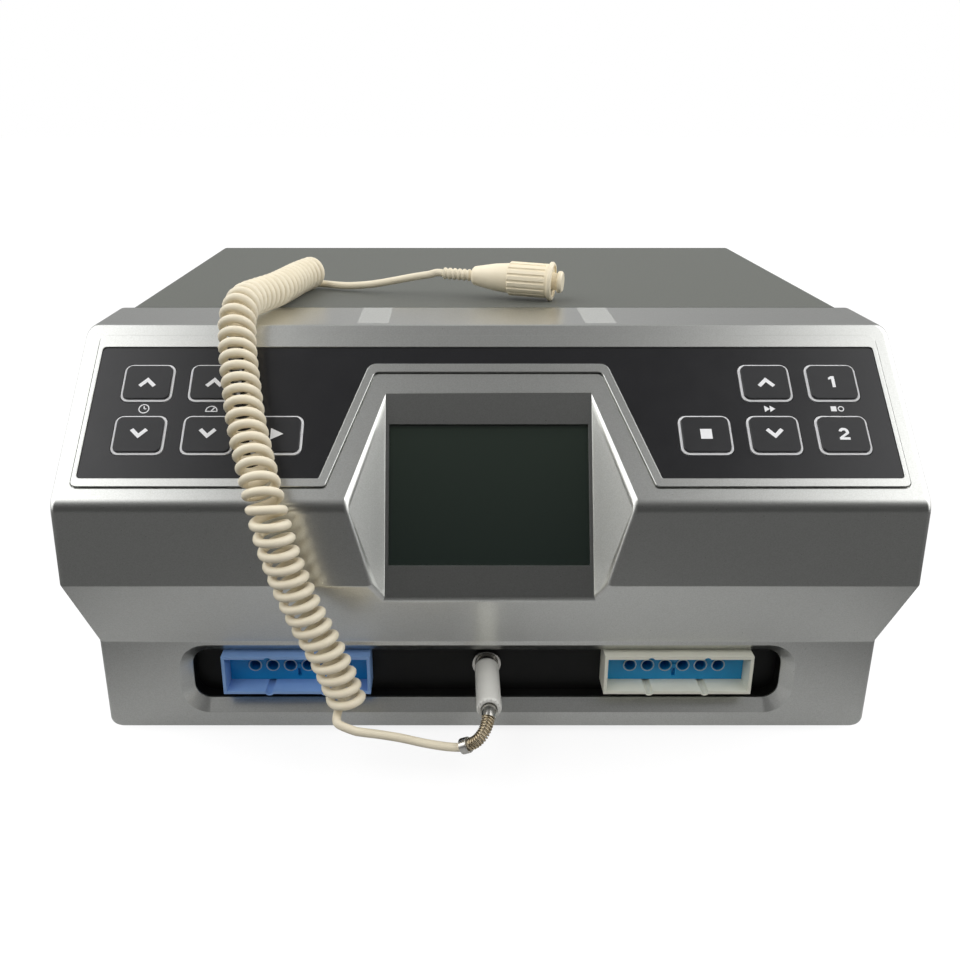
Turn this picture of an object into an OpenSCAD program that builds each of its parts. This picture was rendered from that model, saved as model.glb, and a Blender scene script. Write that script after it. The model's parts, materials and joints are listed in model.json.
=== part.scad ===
// Compression therapy pump: a desktop air pump with a sloping keypad front, two six-way air
// sockets and a push-button hand switch on a curly cord.
// Millimetres. +X right, +Y to the back, +Z up; the origin is on the surface under the middle.

/* [Housing] */
// Width of the sheet cover and of the lower front
cover_w = 385; // [376:1:400]
// Projection of the front moulding past each side of the cover
bezel_side = 7.5; // [5:0.5:12]
// Depth from the chin of the front moulding to the rear edge of the cover
depth = 356; // [346:1:380]
// Height of the cover above the surface
top_z = 198; // [192:1:206]
// Gap that the feet leave under the housing
ground_gap = 4; // [3:0.5:6]
// Wall of the front moulding
bezel_wall = 3.5; // [3:0.1:4]
// Thickness of the steel sheet
sheet = 1.2; // [0.8:0.1:1.5]
// Outer bend radius of the cover
cover_r = 4; // [3:0.5:8]
// Length of the cover and sides behind the rear panel
rear_lip = 4; // [3:0.5:8]

/* [Front profile] */
// Depth of the flat band on top of the moulding
band_depth = 44; // [36:1:52]
// Distance of the keypad's top edge behind the chin
face_back = 80.5; // [76:0.5:86]
// Height of the fold below the keypad
fold_z = 132; // [126:1:136]
// Lean of the facet below the fold
facet_lean = 2; // [0:0.5:4]
// Height of the chin edge
chin_z = 92.7; // [88:0.1:98]
// Height of the top of the lower front
lower_top_z = 53; // [52.5:0.5:56]
// Setback of the lower front behind the chin
lower_back = 18.5; // [14:0.5:24]
// Rounding of the fold below the keypad
fold_r = 9; // [4:0.5:10]
// Rounding of the moulding's other folds
edge_r = 2.5; // [1.5:0.5:4]
// Rounding of the moulding's side edges
side_r = 3; // [2:0.5:6]

/* [Keypad] */
// Keypad's top edge below the top edge of the face
plate_top = 14.6; // [13:0.1:17]
// Height of the keypad plate along the slope
plate_h = 73.8; // [72:0.1:76]
// Margin between the keypad plate and the moulding's side
plate_side = 10.5; // [9:0.5:14]
// Depth of the plate strip above the display
plate_strip = 9.7; // [8:0.1:11]
// Half width of the plate's notch at its top
notch_half_top = 58; // [56:0.5:62]
// Widening of the notch for each millimetre down
notch_slope = 0.323; // [0.28:0.01:0.34]
// Thickness of the keypad plate
plate_t = 2.2; // [1.8:0.1:2.6]
// Frame band above the plate
frame_top = 7.5; // [6:0.1:8.5]
// Frame band below the plate
frame_bottom = 4.5; // [4:0.1:6]
// Frame band at the two ends
frame_side = 2.2; // [1.8:0.1:2.6]
// Frame band round the notch
frame_notch = 4.5; // [3.5:0.1:5]
// Height of the frame above the face
frame_proud = 1; // [0.6:0.1:1.4]
// Depth of the seat that holds frame and plate
seat_depth = 1.8; // [1.6:0.1:2]
// Groove left round the frame
groove = 0.6; // [0.4:0.1:0.8]

/* [Keys] */
// Width of a key
key_w = 24.6; // [22:0.1:26]
// Height of a key along the slope
key_h = 21.5; // [19:0.1:23]
// Corner radius of a key
key_r = 4; // [3:0.1:6]
// Width of the pale border of a key
key_border = 1.3; // [0.8:0.1:2]
// Height of the key border above the plate
key_border_proud = 0.3; // [0.2:0.1:0.6]
// Height of the key pad above its border
key_pad_proud = 1.2; // [0.6:0.1:1.5]
// Travel of a key
key_travel = 1; // [0.6:0.1:1.2]
// Gap round a key
key_gap = 0.3; // [0.2:0.05:0.4]
// Distance between neighbouring keys
key_pitch = 32.2; // [31.5:0.1:34]
// Outermost left column from the end of the plate
left_inset = 25.3; // [20:0.1:26]
// Outermost right column from the end of the plate
right_inset = 23.8; // [20:0.1:26]
// Upper row below the top edge of the face
row_upper = 35.8; // [35:0.1:38]
// Lower row below the top edge of the face
row_lower = 65.3; // [64:0.1:67]

/* [Display] */
// Top of the display recess below the top edge of the face
recess_top = 40.9; // [39:0.1:43]
// Tilt of the recess from the horizontal
recess_tilt = 63.1; // [61:0.1:65]
// Width of the recess floor
recess_w = 99; // [98.5:0.5:102]
// Flare of the cheeks for each millimetre of depth
cheek_flare = 0.68; // [0.5:0.01:0.72]
// Width of the display opening
lcd_w = 95.5; // [90:0.5:96]
// Height of the display opening
lcd_h = 67.5; // [64:0.5:68]
// Strip above the display opening
lcd_drop = 15.3; // [14:0.1:16]
// Thickness of the display glass
glass_t = 1.5; // [1:0.1:1.8]
// Depth of the display module
lcd_module_t = 8; // [6:0.5:10]

/* [Connector bay] */
// Width of the bay at its floor
bay_w = 297; // [290:1:300]
// Height of the bay at its floor
bay_h = 27.9; // [26.5:0.1:28.5]
// Lower edge of the bay above the surface
bay_z = 17.4; // [17:0.1:18]
// Corner radius of the bay
bay_r = 8; // [5:0.5:10]
// Bevel round the bay
bay_bevel = 5.5; // [4:0.1:6]
// Depth from the lower front to the back plate of the bay
bay_depth = 13.4; // [12:0.1:16]
// Wall of the black bay tray
tray_wall = 2; // [1.5:0.1:2.5]

/* [Air sockets] */
// Distance of each air socket from the middle
socket_x = 95.5; // [90:0.5:100]
// Width of a socket shroud
socket_w = 74; // [70:0.5:76]
// Height of a socket shroud
socket_h = 21.4; // [20:0.1:21.8]
// Wall of a socket shroud
socket_wall = 1.6; // [1.2:0.1:2]
// Projection of a shroud from the back plate
socket_l = 15; // [13:0.5:18]
// Depth of the port face inside the shroud
port_depth = 11.4; // [9:0.1:12]
// Number of ports in a socket
port_count = 6; // [4:1:6]
// Distance between ports
port_pitch = 9; // [8.5:0.1:9.5]
// Diameter of a port
port_d = 5.6; // [4:0.1:5.8]
// Distance of each keyway from the socket's middle
keyway_x = 14; // [12:0.5:15]
// Radius of a keyway groove
keyway_r = 1.9; // [1.5:0.1:2.1]

/* [Jack and plug] */
// Height of the jack above the surface
jack_z = 33.5; // [32.5:0.1:34]
// Diameter of the plug's shank
shank_d = 6.35; // [6:0.05:6.5]
// Length of the plug's shank
shank_l = 30; // [28:0.5:32]
// Diameter of the jack nut
jack_nut_d = 14.8; // [14:0.1:16]
// Thickness of the jack nut
jack_nut_t = 3; // [2:0.1:3.4]
// Diameter of the plug's sleeve
sleeve_d = 12; // [11.5:0.1:13]
// Length of the plug's sleeve
sleeve_l = 37; // [36.5:0.1:37.5]

/* [Hand switch] */
// Length of the ribbed strain relief
relief_l = 17; // [15:0.5:20]
// Diameter of the relief's ribs
relief_d = 6.6; // [6.2:0.1:7.5]
// Length of the tapered body
grip_l = 21.5; // [20:0.5:24]
// Diameter of the body at the cord
grip_d1 = 10.4; // [10:0.1:12]
// Diameter of the body at the collar
grip_d2 = 16.7; // [16:0.1:17.5]
// Diameter of the fluted collar
collar_d = 18.8; // [18.2:0.1:20]
// Length of the fluted collar
collar_l = 22.5; // [20:0.5:25]
// Number of flutes
flute_count = 16; // [12:1:18]
// Diameter of the end flange
flange_d = 21.3; // [20.6:0.1:22.5]
// Thickness of the end flange
flange_t = 2.6; // [2:0.1:3]
// Diameter of the push-button's neck
neck_d = 9.4; // [8:0.1:10]
// Diameter of the push-button's head
head_d = 11.9; // [11:0.1:13]
// Thickness of the push-button's head
head_t = 3; // [2:0.1:4]
// Travel of the push-button
button_travel = 2.2; // [1.5:0.1:2.5]

/* [Cord] */
// Diameter of the cord
cord_d = 4.2; // [4.2:0.05:4.3]
// Outer diameter of the curls
coil_d = 18.5; // [18:0.1:18.6]
// Curls over the open stretch on the front
open_curls = 33; // [30:1:34]
// Curls over the close stretch on the cover
close_curls = 18; // [15:1:18]
// Wire of the plug's spring
spring_wire = 1; // [0.9:0.05:1.1]
// Outer diameter of the plug's spring
spring_d = 7; // [6.9:0.05:7.2]
// Curls of the plug's spring
spring_curls = 11; // [9:1:12]

/* [Rear] */
// Distance of the mains inlet from the cover's side
inlet_side = 52.5; // [40:0.5:60]
// Distance of the power switch from the cover's side
switch_side = 104.5; // [96:0.5:112]
// Height of inlet and switch above the surface
rear_row_z = 45; // [38:1:60]
// Swing of the power rocker between off and on
rocker_swing = 16; // [12:1:18]

/* [Inside] */
// Width of the air compressor
pump_w = 112; // [100:1:120]
// Depth of the air compressor
pump_l = 92; // [80:1:100]
// Height of the air compressor
pump_h = 78; // [70:1:90]
// Height of the compressor's rubber mounts
mount_h = 10; // [8:0.5:14]
// Outer diameter of the air hoses
hose_d = 6; // [5:0.1:6.5]
// Length of the air hoses from ports to valves
hose_l = 26; // [20:0.5:30]
// Height of the circuit boards above the tray
board_gap = 9; // [6:0.5:12]
// Width of each main circuit board
main_w = 96; // [80:1:100]
// Length of each main circuit board
main_l = 130; // [110:1:140]
// Diameter of the cover's screws
screw_d = 4; // [3:0.5:5]

/* [Hidden] */
$fn = 48;

silver = [0.62, 0.63, 0.62];
cover_grey = [0.42, 0.43, 0.41];
black = [0.09, 0.09, 0.09];
ivory = [0.91, 0.87, 0.77];
board_green = [0.1, 0.32, 0.2];
eps = 0.01;
fit = 0.2;      // running clearance between neighbouring pieces
arc_steps = 6;  // straight pieces in each rounded corner

// Places that several pieces share
bezel_w = cover_w + 2 * bezel_side;
plate_w = bezel_w - 2 * plate_side;
inlet_x = cover_w / 2 - inlet_side;
switch_x = cover_w / 2 - switch_side;
front_y = -depth / 2;
back_y = depth / 2;
base_z = ground_gap;
lower_y = front_y + lower_back;
fold_y = front_y + facet_lean;
face_top_y = front_y + face_back;
band_back_y = face_top_y + band_depth;
face_tilt = atan2(top_z - fold_z, face_top_y - fold_y);
face_len = norm([face_top_y - fold_y, top_z - fold_z]);
floor_z = base_z + 1;           // underside of the base tray
floor_top = floor_z + sheet;    // what stands inside rests here
panel_y = back_y - rear_lip;    // outer face of the rear panel
inner_half = cover_w / 2 - sheet - fit;  // half width inside the cover

// ---------- outlines ----------
function unit(v) = v / norm(v);
// Arc of radius r in the corner b of the path a, b, c
function corner(a, b, c, r) =
  let (u = unit(a - b), v = unit(c - b), half = acos(u * v) / 2, sweep = 180 - 2 * half)
  let (centre = b + unit(u + v) * r / sin(half))
  let (p = b + u * r / tan(half) - centre, q = b + v * r / tan(half) - centre)
  [for (k = [0:arc_steps]) let (f = k / arc_steps)
    centre + (sin((1 - f) * sweep) * p + sin(f * sweep) * q) / sin(sweep)];
// Closed outline with a radius for each corner, 0 for a sharp one
function rounded(p, radii) = let (n = len(p))
  [for (i = [0:n - 1]) each radii[i] == 0 ? [p[i]]
    : corner(p[(i + n - 1) % n], p[i], p[(i + 1) % n], radii[i])];
// Counter-clockwise outline moved inwards by d
function inset(p, d) = let (n = len(p))
  [for (i = [0:n - 1])
    let (u = unit(p[i] - p[(i + n - 1) % n]), v = unit(p[(i + 1) % n] - p[i]))
    let (nu = [-u[1], u[0]], nv = [-v[1], v[0]])
    p[i] + d * (nu + nv) / (1 + nu * nv)];
function rect(w, h) = [[-w / 2, -h / 2], [w / 2, -h / 2], [w / 2, h / 2], [-w / 2, h / 2]];
function round_rect(w, h, r) = rounded(rect(w, h), [r, r, r, r]);

// Extrusions of a side view (Y, Z) along X and of a front view (X, Z) along Y
module along_x(w) rotate([90, 0, 90]) linear_extrude(w, center = true) children();
module along_y(y0, y1) translate([0, y1, 0]) rotate([90, 0, 0]) linear_extrude(y1 - y0) children();
// A round bar along +Y from the point p
module rod_y(p, d, l) translate(p) rotate([-90, 0, 0]) cylinder(d = d, h = l);
module box(lo, hi) translate(lo) cube(hi - lo);

// Keypad face: origin on its top edge, x right, y up the slope, z outwards
module on_face() translate([0, face_top_y, top_z]) rotate([face_tilt, 0, 0]) children();
// Display recess: origin on its top line, y up the floor, z outwards
recess_y = face_top_y - recess_top * cos(face_tilt);
recess_z = top_z - recess_top * sin(face_tilt);
module on_recess() translate([0, recess_y, recess_z]) rotate([recess_tilt, 0, 0]) children();

// ---------- front moulding ----------
side_corners = [[band_back_y, base_z], [band_back_y, top_z], [face_top_y, top_z],
  [fold_y, fold_z], [front_y, chin_z], [lower_y, lower_top_z], [lower_y, base_z]];
side_radii = [0, 0, edge_r, fold_r, edge_r, edge_r, 0];
bezel_base_r = 4;    // corner radius at the foot of the moulding
bezel_top_r = 5;     // corner radius at the top of the moulding
front_corners = [[-cover_w / 2, base_z], [cover_w / 2, base_z], [cover_w / 2, lower_top_z],
  [bezel_w / 2, chin_z], [bezel_w / 2, top_z], [-bezel_w / 2, top_z], [-bezel_w / 2, chin_z],
  [-cover_w / 2, lower_top_z]];
front_radii = [bezel_base_r, bezel_base_r, edge_r, edge_r, bezel_top_r, bezel_top_r, edge_r,
  edge_r];

// Outer form: plan outlines with rounded corners, stacked at every height where the side view
// or the front view bends. Matching edges are parallel, so each face between two outlines is flat.
front_line = [for (p = rounded(side_corners, side_radii)) if (p[0] < band_back_y) [p[1], p[0]]];
half_line = [for (p = rounded(front_corners, front_radii)) if (p[0] > 0) [p[1], p[0]]];
function rising(v) = len(v) == 0 ? [] : let (m = v[0]) concat(
  rising([for (x = v) if (x < m - 0.15) x]), [m], rising([for (x = v) if (x > m + 0.15) x]));
levels = concat([base_z],
  rising([for (p = concat(front_line, half_line)) if (p[0] > base_z + 0.15 && p[0] < top_z - 0.15) p[0]]),
  [top_z]);
function plan_outline(z) = let (w = lookup(z, half_line), y = lookup(z, front_line))
  rounded([[-w, band_back_y], [-w, y], [w, y], [w, band_back_y]], [0, side_r, side_r, 0]);
module bezel_solid() {
  rings = [for (z = levels) [for (p = plan_outline(z)) [p[0], p[1], z]]];
  n = len(rings[0]);
  last = (len(levels) - 1) * n;
  polyhedron(points = [for (ring = rings) each ring],
    faces = concat([[for (k = [0:n - 1]) k], [for (k = [n - 1:-1:0]) last + k]],
      [for (a = [0:n:last - 1], k = [0:n - 1]) let (m = (k + 1) % n)
        [a + k, a + n + k, a + n + m, a + m]]));
}

module bezel_hollow() {
  walls = inset(side_corners, bezel_wall);
  open_back = [for (i = [0:len(walls) - 1]) i < 2 ? [band_back_y + 1, walls[i][1]] : walls[i]];
  open_base = [for (p = open_back) p[1] < lower_top_z / 2 ? [p[0], base_z - 1] : p];
  inner_front = [for (p = inset(front_corners, bezel_wall)) p[1] < lower_top_z / 2
    ? [p[0], base_z - 1] : p];
  intersection() {
    along_x(bezel_w) polygon(open_base);
    along_y(front_y, band_back_y + 1) polygon(inner_front);
  }
}

// Wedge in front of the display floor, grown by w for the wall behind it
recess_reach = 40;
recess_run = 125;
module recess_wedge(w) {
  half = recess_w / 2 + w;
  spread = cheek_flare * (recess_reach + w);
  on_recess() translate([0, w + 2, 0]) rotate([90, 0, 0]) linear_extrude(recess_run + w)
    polygon([[-half, -w], [half, -w], [half + spread, recess_reach], [-half - spread, recess_reach]]);
}
lcd_y = -lcd_drop - lcd_h / 2;
glass_margin = 2;

plate_bottom = plate_top + plate_h;
notch_top = plate_top + plate_strip;
function notch_half(t) = notch_half_top + notch_slope * (t - notch_top);
plate_half = plate_w / 2;
plate_outline = rounded([[-plate_half, -plate_top], [-plate_half, -plate_bottom],
  [-notch_half(plate_bottom), -plate_bottom], [-notch_half_top, -notch_top],
  [notch_half_top, -notch_top], [notch_half(plate_bottom), -plate_bottom],
  [plate_half, -plate_bottom], [plate_half, -plate_top]], [2, 2, 1, 5, 5, 1, 2, 2]);
frame_notch_top = notch_top + frame_notch + 0.6;
frame_low = plate_bottom + frame_bottom;
frame_half = plate_half + frame_side;
frame_corners = [[-frame_half, -plate_top + frame_top], [-frame_half, -frame_low],
  [-notch_half(frame_low) + frame_notch, -frame_low],
  [-notch_half(frame_notch_top) + frame_notch, -frame_notch_top],
  [notch_half(frame_notch_top) - frame_notch, -frame_notch_top],
  [notch_half(frame_low) - frame_notch, -frame_low], [frame_half, -frame_low],
  [frame_half, -plate_top + frame_top]];
frame_radii = [3, 3, 2, 3, 3, 2, 3, 3];

// Key places: x across the face, distance below its top edge
left_col = plate_half - left_inset - 2 * key_pitch;
right_col = plate_half - right_inset - 2 * key_pitch;
upper_keys = [-left_col - 2 * key_pitch, -left_col - key_pitch, right_col + key_pitch,
  right_col + 2 * key_pitch];
lower_keys = [-left_col - 2 * key_pitch, -left_col - key_pitch, -left_col, right_col,
  right_col + key_pitch, right_col + 2 * key_pitch];
key_places = concat([for (x = upper_keys) [x, row_upper]], [for (x = lower_keys) [x, row_lower]]);
key_flange = 1.2;    // how far a key's flange reaches past its sides
flange_thick = 1;    // thickness of that flange
window_grow = 2 * (key_flange + key_gap);
module at_keys() for (k = key_places) translate([k[0], -k[1], 0]) children();

board_drop = 9;      // boards lie this far behind the face
board_t = 1.6;
board_w = 112;
board_h = 70;
board_mid_x = left_col + key_pitch;
board_mid_y = -(row_upper + row_lower) / 2;
boss_d = 6;
boss_x = board_w / 2 - 4;
boss_y = board_h / 2 - 4;
module at_boss(side) for (x = [-boss_x, boss_x], y = [-boss_y, boss_y])
  translate([side * board_mid_x + x, board_mid_y + y, 0]) children();

bay_mid_z = bay_z + bay_h / 2;
bay_back_y = lower_y + bay_depth;
bay_rim = bay_bevel + 1;
tongue_t = 2;
tongue_l = 10;
rear_top_z = top_z - sheet - fit;    // highest place under the cover
tongue_profile = rounded([[-inner_half, lower_top_z + 10], [inner_half, lower_top_z + 10],
  [inner_half, rear_top_z], [-inner_half, rear_top_z]], [0, 0, cover_r, cover_r]);

module front_bezel() color(silver) difference() {
  union() {
    difference() {
      bezel_solid();
      difference() {
        bezel_hollow();
        recess_wedge(bezel_wall);
        // thickened rim round the connector bay
        along_y(lower_y, lower_y + bay_rim) bay_outline(7);
        // closed step behind the wide part
        difference() {
          box([-bezel_w, band_back_y - bezel_wall, lower_top_z], [bezel_w, band_back_y + 1, top_z]);
          box([-inner_half + 12, band_back_y - 20, base_z], [inner_half - 12, band_back_y + 2, top_z - 12]);
        }
      }
    }
    // bosses that carry the key boards
    on_face() for (side = [-1, 1]) at_boss(side) translate([0, 0, -board_drop])
      cylinder(d = boss_d, h = board_drop - bezel_wall + 0.5);
    // tongue under the cover
    difference() {
      along_y(band_back_y - 2, band_back_y + tongue_l) polygon(tongue_profile);
      box([-inner_half + tongue_t, band_back_y - 3, 0],
        [inner_half - tongue_t, band_back_y + tongue_l + 1, rear_top_z - tongue_t]);
    }
  }
  recess_wedge(0);
  // seat of keypad frame and plate, with a window behind each key
  on_face() translate([0, 0, -seat_depth]) linear_extrude(10)
    polygon(inset(rounded(frame_corners, frame_radii), -groove));
  on_face() at_keys() translate([0, 0, -bezel_wall - 3]) linear_extrude(5)
    polygon(round_rect(key_w + window_grow, key_h + window_grow, key_r));
  // display opening with the glass rebate behind it
  on_recess() translate([0, lcd_y, -bezel_wall - 1]) linear_extrude(bezel_wall + 2)
    polygon(rect(lcd_w, lcd_h));
  on_recess() translate([0, lcd_y, -bezel_wall - 1]) linear_extrude(glass_t + 1)
    polygon(rect(lcd_w + 2 * glass_margin, lcd_h + 2 * glass_margin));
  bay_mouth();
}

// The bay's opening: a straight hole that widens at 45 degrees to the front
module bay_mouth() {
  reach = bay_bevel + 1;
  low = round_rect(bay_w, bay_h, bay_r);
  high = round_rect(bay_w + 2 * reach, bay_h + 2 * reach, bay_r + reach);
  n = len(low);
  translate([0, lower_y + bay_bevel, bay_mid_z]) polyhedron(
    points = concat([for (p = low) [p[0], 3, p[1]]], [for (p = low) [p[0], 0, p[1]]],
      [for (p = high) [p[0], -reach, p[1]]]),
    faces = concat([[for (k = [0:n - 1]) k]], [[for (k = [n - 1:-1:0]) 2 * n + k]],
      [for (k = [0:n - 1], a = [0, n]) let (m = (k + 1) % n) [a + k, a + n + k, a + n + m, a + m]]));
}

module keypad_frame() color(silver) on_face() difference() {
  translate([0, 0, -seat_depth]) linear_extrude(seat_depth + frame_proud)
    polygon(rounded(frame_corners, frame_radii));
  translate([0, 0, -seat_depth - 1]) linear_extrude(seat_depth + frame_proud + 2)
    polygon(inset(plate_outline, -0.1));
}

plate_face = plate_t - seat_depth;   // outer surface of the plate above the face
module keypad_plate() color(black) on_face() difference() {
  translate([0, 0, -seat_depth]) linear_extrude(plate_t) polygon(plate_outline);
  at_keys() translate([0, 0, -seat_depth - 1]) linear_extrude(plate_t + 2)
    polygon(round_rect(key_w + 2 * key_gap, key_h + 2 * key_gap, key_r + key_gap));
}

stem_d = 3;
stem_into = 0.5;     // the stem's reach into its switch at rest
switch_h = 3.6;
switch_w = 6;
well_depth = 2;
flange_top = -seat_depth - 0.3;
key_dome = 1.2;      // how far each side of the pad leans in to its top
// Straight pillar with its upper edges bevelled: w by l, h high, bevel from the height low
module bevelled(w, l, r, h, low, lean) intersection() {
  linear_extrude(h) polygon(round_rect(w, l, r));
  for (turn = [0, 90]) rotate([90, 0, turn]) linear_extrude(w + l, center = true)
    let (half = (turn == 0 ? w : l) / 2)
    polygon([[-half, -1], [half, -1], [half, low], [half - lean, h], [lean - half, h], [-half, low]]);
}
module key(x, t) on_face() translate([x, -t, 0]) {
  pad_w = key_w - 2 * key_border;
  pad_h = key_h - 2 * key_border;
  pad_z = plate_face + key_border_proud;
  stem_end = -board_drop + switch_h - stem_into;
  color("whitesmoke") translate([0, 0, flange_top - eps])
    linear_extrude(pad_z - flange_top + eps) polygon(round_rect(key_w, key_h, key_r));
  color(black) {
    translate([0, 0, flange_top - flange_thick]) linear_extrude(flange_thick)
      polygon(round_rect(key_w + 2 * key_flange, key_h + 2 * key_flange, key_r));
    translate([0, 0, pad_z - eps])
      bevelled(pad_w, pad_h, key_r - key_border, key_pad_proud + eps, key_pad_proud * 0.4, key_dome);
    translate([0, 0, stem_end]) cylinder(d = stem_d, h = flange_top - flange_thick - stem_end + eps);
  }
}

module keypad_board(side) color(board_green) on_face() difference() {
  translate([side * board_mid_x, board_mid_y, -board_drop - board_t]) linear_extrude(board_t)
    polygon(round_rect(board_w, board_h, 2));
  at_boss(side) translate([0, 0, -board_drop - board_t - 1]) cylinder(d = 2.6, h = board_t + 2);
}

module key_switches() color("dimgray") on_face() at_keys() translate([0, 0, -board_drop])
  difference() {
    linear_extrude(switch_h) polygon(rect(switch_w, switch_w));
    translate([0, 0, switch_h - well_depth]) cylinder(d = stem_d + 0.8, h = well_depth + 1);
  }

// ---------- display ----------
module lcd_glass() color([0.14, 0.17, 0.15]) on_recess()
  translate([0, lcd_y, -bezel_wall]) linear_extrude(glass_t)
    polygon(rect(lcd_w + 2 * glass_margin - fit, lcd_h + 2 * glass_margin - fit));

module lcd_module() color("slategray") on_recess() translate([0, lcd_y, -bezel_wall - lcd_module_t]) {
  linear_extrude(lcd_module_t) polygon(rect(lcd_w + 8, lcd_h + 12));
  translate([0, 0, -board_t]) linear_extrude(board_t) polygon(rect(lcd_w + 14, lcd_h + 18));
}

// ---------- connector bay ----------
jack_body_w = 20;
module bay_outline(grow) translate([0, bay_mid_z])
  polygon(round_rect(bay_w + 2 * grow, bay_h + 2 * grow, bay_r + grow));
module bay_surround() color(black) difference() {
  along_y(lower_y + bay_rim, bay_back_y) bay_outline(tray_wall);
  along_y(lower_y, bay_back_y + 1) bay_outline(0);
}

// Plate at the bay's back that carries the sockets and the jack
module socket_plate() color(black) difference() {
  along_y(bay_back_y, bay_back_y + tray_wall) bay_outline(tray_wall);
  for (side = [-1, 1]) along_y(bay_back_y - 1, bay_back_y + tray_wall + 1)
    translate([side * socket_x, socket_z]) polygon(rect(port_w + fit, port_h + fit));
  rod_y([0, bay_back_y - 1, jack_z], bush_d + fit, tray_wall + 2);
}

socket_z = bay_z + 17;         // middle of the air sockets
port_w = socket_w - 2 * socket_wall - fit;
port_h = socket_h - 2 * socket_wall - fit;
socket_front_y = bay_back_y - socket_l;
port_face_y = socket_front_y + port_depth;
port_z = socket_z - 0.5;       // line of the ports
function port_x(i) = (i - (port_count - 1) / 2) * port_pitch;
module at_keyways() for (x = [-keyway_x, keyway_x], s = [-1, 1])
  translate([x, 0, socket_z + s * (socket_h / 2 - socket_wall) - (s > 0 ? 0.9 : 0)]) children();

module socket_shroud(side) translate([side * socket_x, 0, 0]) difference() {
  union() {
    along_y(socket_front_y, bay_back_y) translate([0, socket_z]) polygon(rect(socket_w, socket_h));
    at_keyways() rod_y([0, socket_front_y, 0], 2 * keyway_r + 1.2, socket_l);
  }
  along_y(socket_front_y - 1, bay_back_y + 1) translate([0, socket_z])
    polygon(rect(socket_w - 2 * socket_wall, socket_h - 2 * socket_wall));
  at_keyways() rod_y([0, socket_front_y - 1, 0], 2 * keyway_r, socket_l + 2);
}

port_rear_y = bay_back_y + tray_wall + 5;
spigot_l = 8;
spigot_d = hose_d - 2;
ring_wall = 0.7;
module port_block(side) color([0, 0.42, 0.68]) translate([side * socket_x, 0, 0]) difference() {
  union() {
    along_y(port_face_y, port_rear_y) translate([0, socket_z]) polygon(rect(port_w, port_h));
    for (i = [0:port_count - 1]) {
      rod_y([port_x(i), port_face_y - 0.5, port_z], port_d + 2 * ring_wall, 2);
      rod_y([port_x(i), port_rear_y - 1, port_z], spigot_d, spigot_l + 1);
    }
    rod_y([0, port_face_y - 0.8, port_z], 1.8, 2);
  }
  for (i = [0:port_count - 1]) {
    rod_y([port_x(i), port_face_y - 1, port_z], port_d, port_rear_y - port_face_y - 1);
    rod_y([port_x(i), port_face_y, port_z], 2, port_rear_y - port_face_y + spigot_l + 1);
  }
  // slot below the middle boss, for the mating plug's key
  box([-0.9, port_face_y - 1, socket_z - port_h / 2 + 2], [0.9, port_face_y + 2, port_z - 2]);
}

// ---------- jack and plug ----------
bush_d = 9;
bore_clear = 0.15;
nut_y = bay_back_y - jack_nut_t;
plug_collar_t = 3.2;
collar_y = nut_y - 0.3 - plug_collar_t;
sleeve_y = collar_y - sleeve_l;
jack_front_y = bay_back_y - jack_nut_t + 0.4;
module jack_socket() color("dimgray") difference() {
  union() {
    rod_y([0, jack_front_y, jack_z], bush_d, jack_nut_t + tray_wall + 1);
    translate([0, 0, jack_z]) box([-jack_body_w / 2, bay_back_y + tray_wall, -11],
      [jack_body_w / 2, collar_y + shank_l + 6, 11]);
  }
  rod_y([0, jack_front_y - 1, jack_z], shank_d + 2 * bore_clear, collar_y + shank_l + 4 - jack_front_y);
}

module jack_nut() color("gainsboro") difference() {
  rod_y([0, nut_y, jack_z], jack_nut_d, jack_nut_t);
  rod_y([0, nut_y - 1, jack_z], bush_d + fit, jack_nut_t + 2);
}

module plug_shank() color("gainsboro") translate([0, collar_y, jack_z]) rotate([-90, 0, 0])
  rotate_extrude() polygon([[0, 0], [sleeve_d / 2, 0], [sleeve_d / 2, 1.6], [sleeve_d / 2 - 0.8, 2],
    [sleeve_d / 2 - 0.8, plug_collar_t], [shank_d / 2, plug_collar_t],
    [shank_d / 2, shank_l - 5], [shank_d / 2 - 0.9, shank_l - 4], [shank_d / 2, shank_l - 2.6],
    [1.4, shank_l], [0, shank_l]]);

spring_seat = 3;     // depth of the counterbore that the spring starts in
module plug_sleeve() color([0.93, 0.93, 0.91]) translate([0, collar_y, jack_z]) rotate([90, 0, 0])
  rotate_extrude() polygon([[0, 0], [sleeve_d / 2, 0], [sleeve_d / 2, sleeve_l - 1],
    [sleeve_d / 2 - 1, sleeve_l], [spring_d / 2 + 0.3, sleeve_l],
    [spring_d / 2 + 0.3, sleeve_l - spring_seat], [0, sleeve_l - spring_seat]]);

// ---------- swept tubes ----------
// Rings of a tube along the points p; refs holds a side direction for each point
function tube_rings(p, refs, r, sides) = let (n = len(p))
  [for (i = [0:n - 1])
    let (t = unit(p[min(i + 1, n - 1)] - p[max(i - 1, 0)]))
    let (e = unit(refs[i] - (refs[i] * t) * t), f = cross(t, e))
    each [for (k = [0:sides - 1]) p[i] + r * (cos(360 * k / sides) * e + sin(360 * k / sides) * f)]];
function tube_faces(n, sides) = concat(
  [for (k = [1:sides - 2]) [0, k, k + 1]],
  [for (i = [0:n - 2], k = [0:sides - 1]) let (a = i * sides, m = (k + 1) % sides)
    each [[a + k, a + k + sides, a + m + sides], [a + k, a + m + sides, a + m]]],
  [for (k = [1:sides - 2]) let (a = (n - 1) * sides) [a, a + k + 1, a + k]]);
module tube(p, refs, d, sides)
  polyhedron(points = tube_rings(p, refs, d / 2, sides), faces = tube_faces(len(p), sides));
module plain_tube(p, d, sides) tube(p, [for (q = p) [0.2, 0.1, 1]], d, sides);

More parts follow.
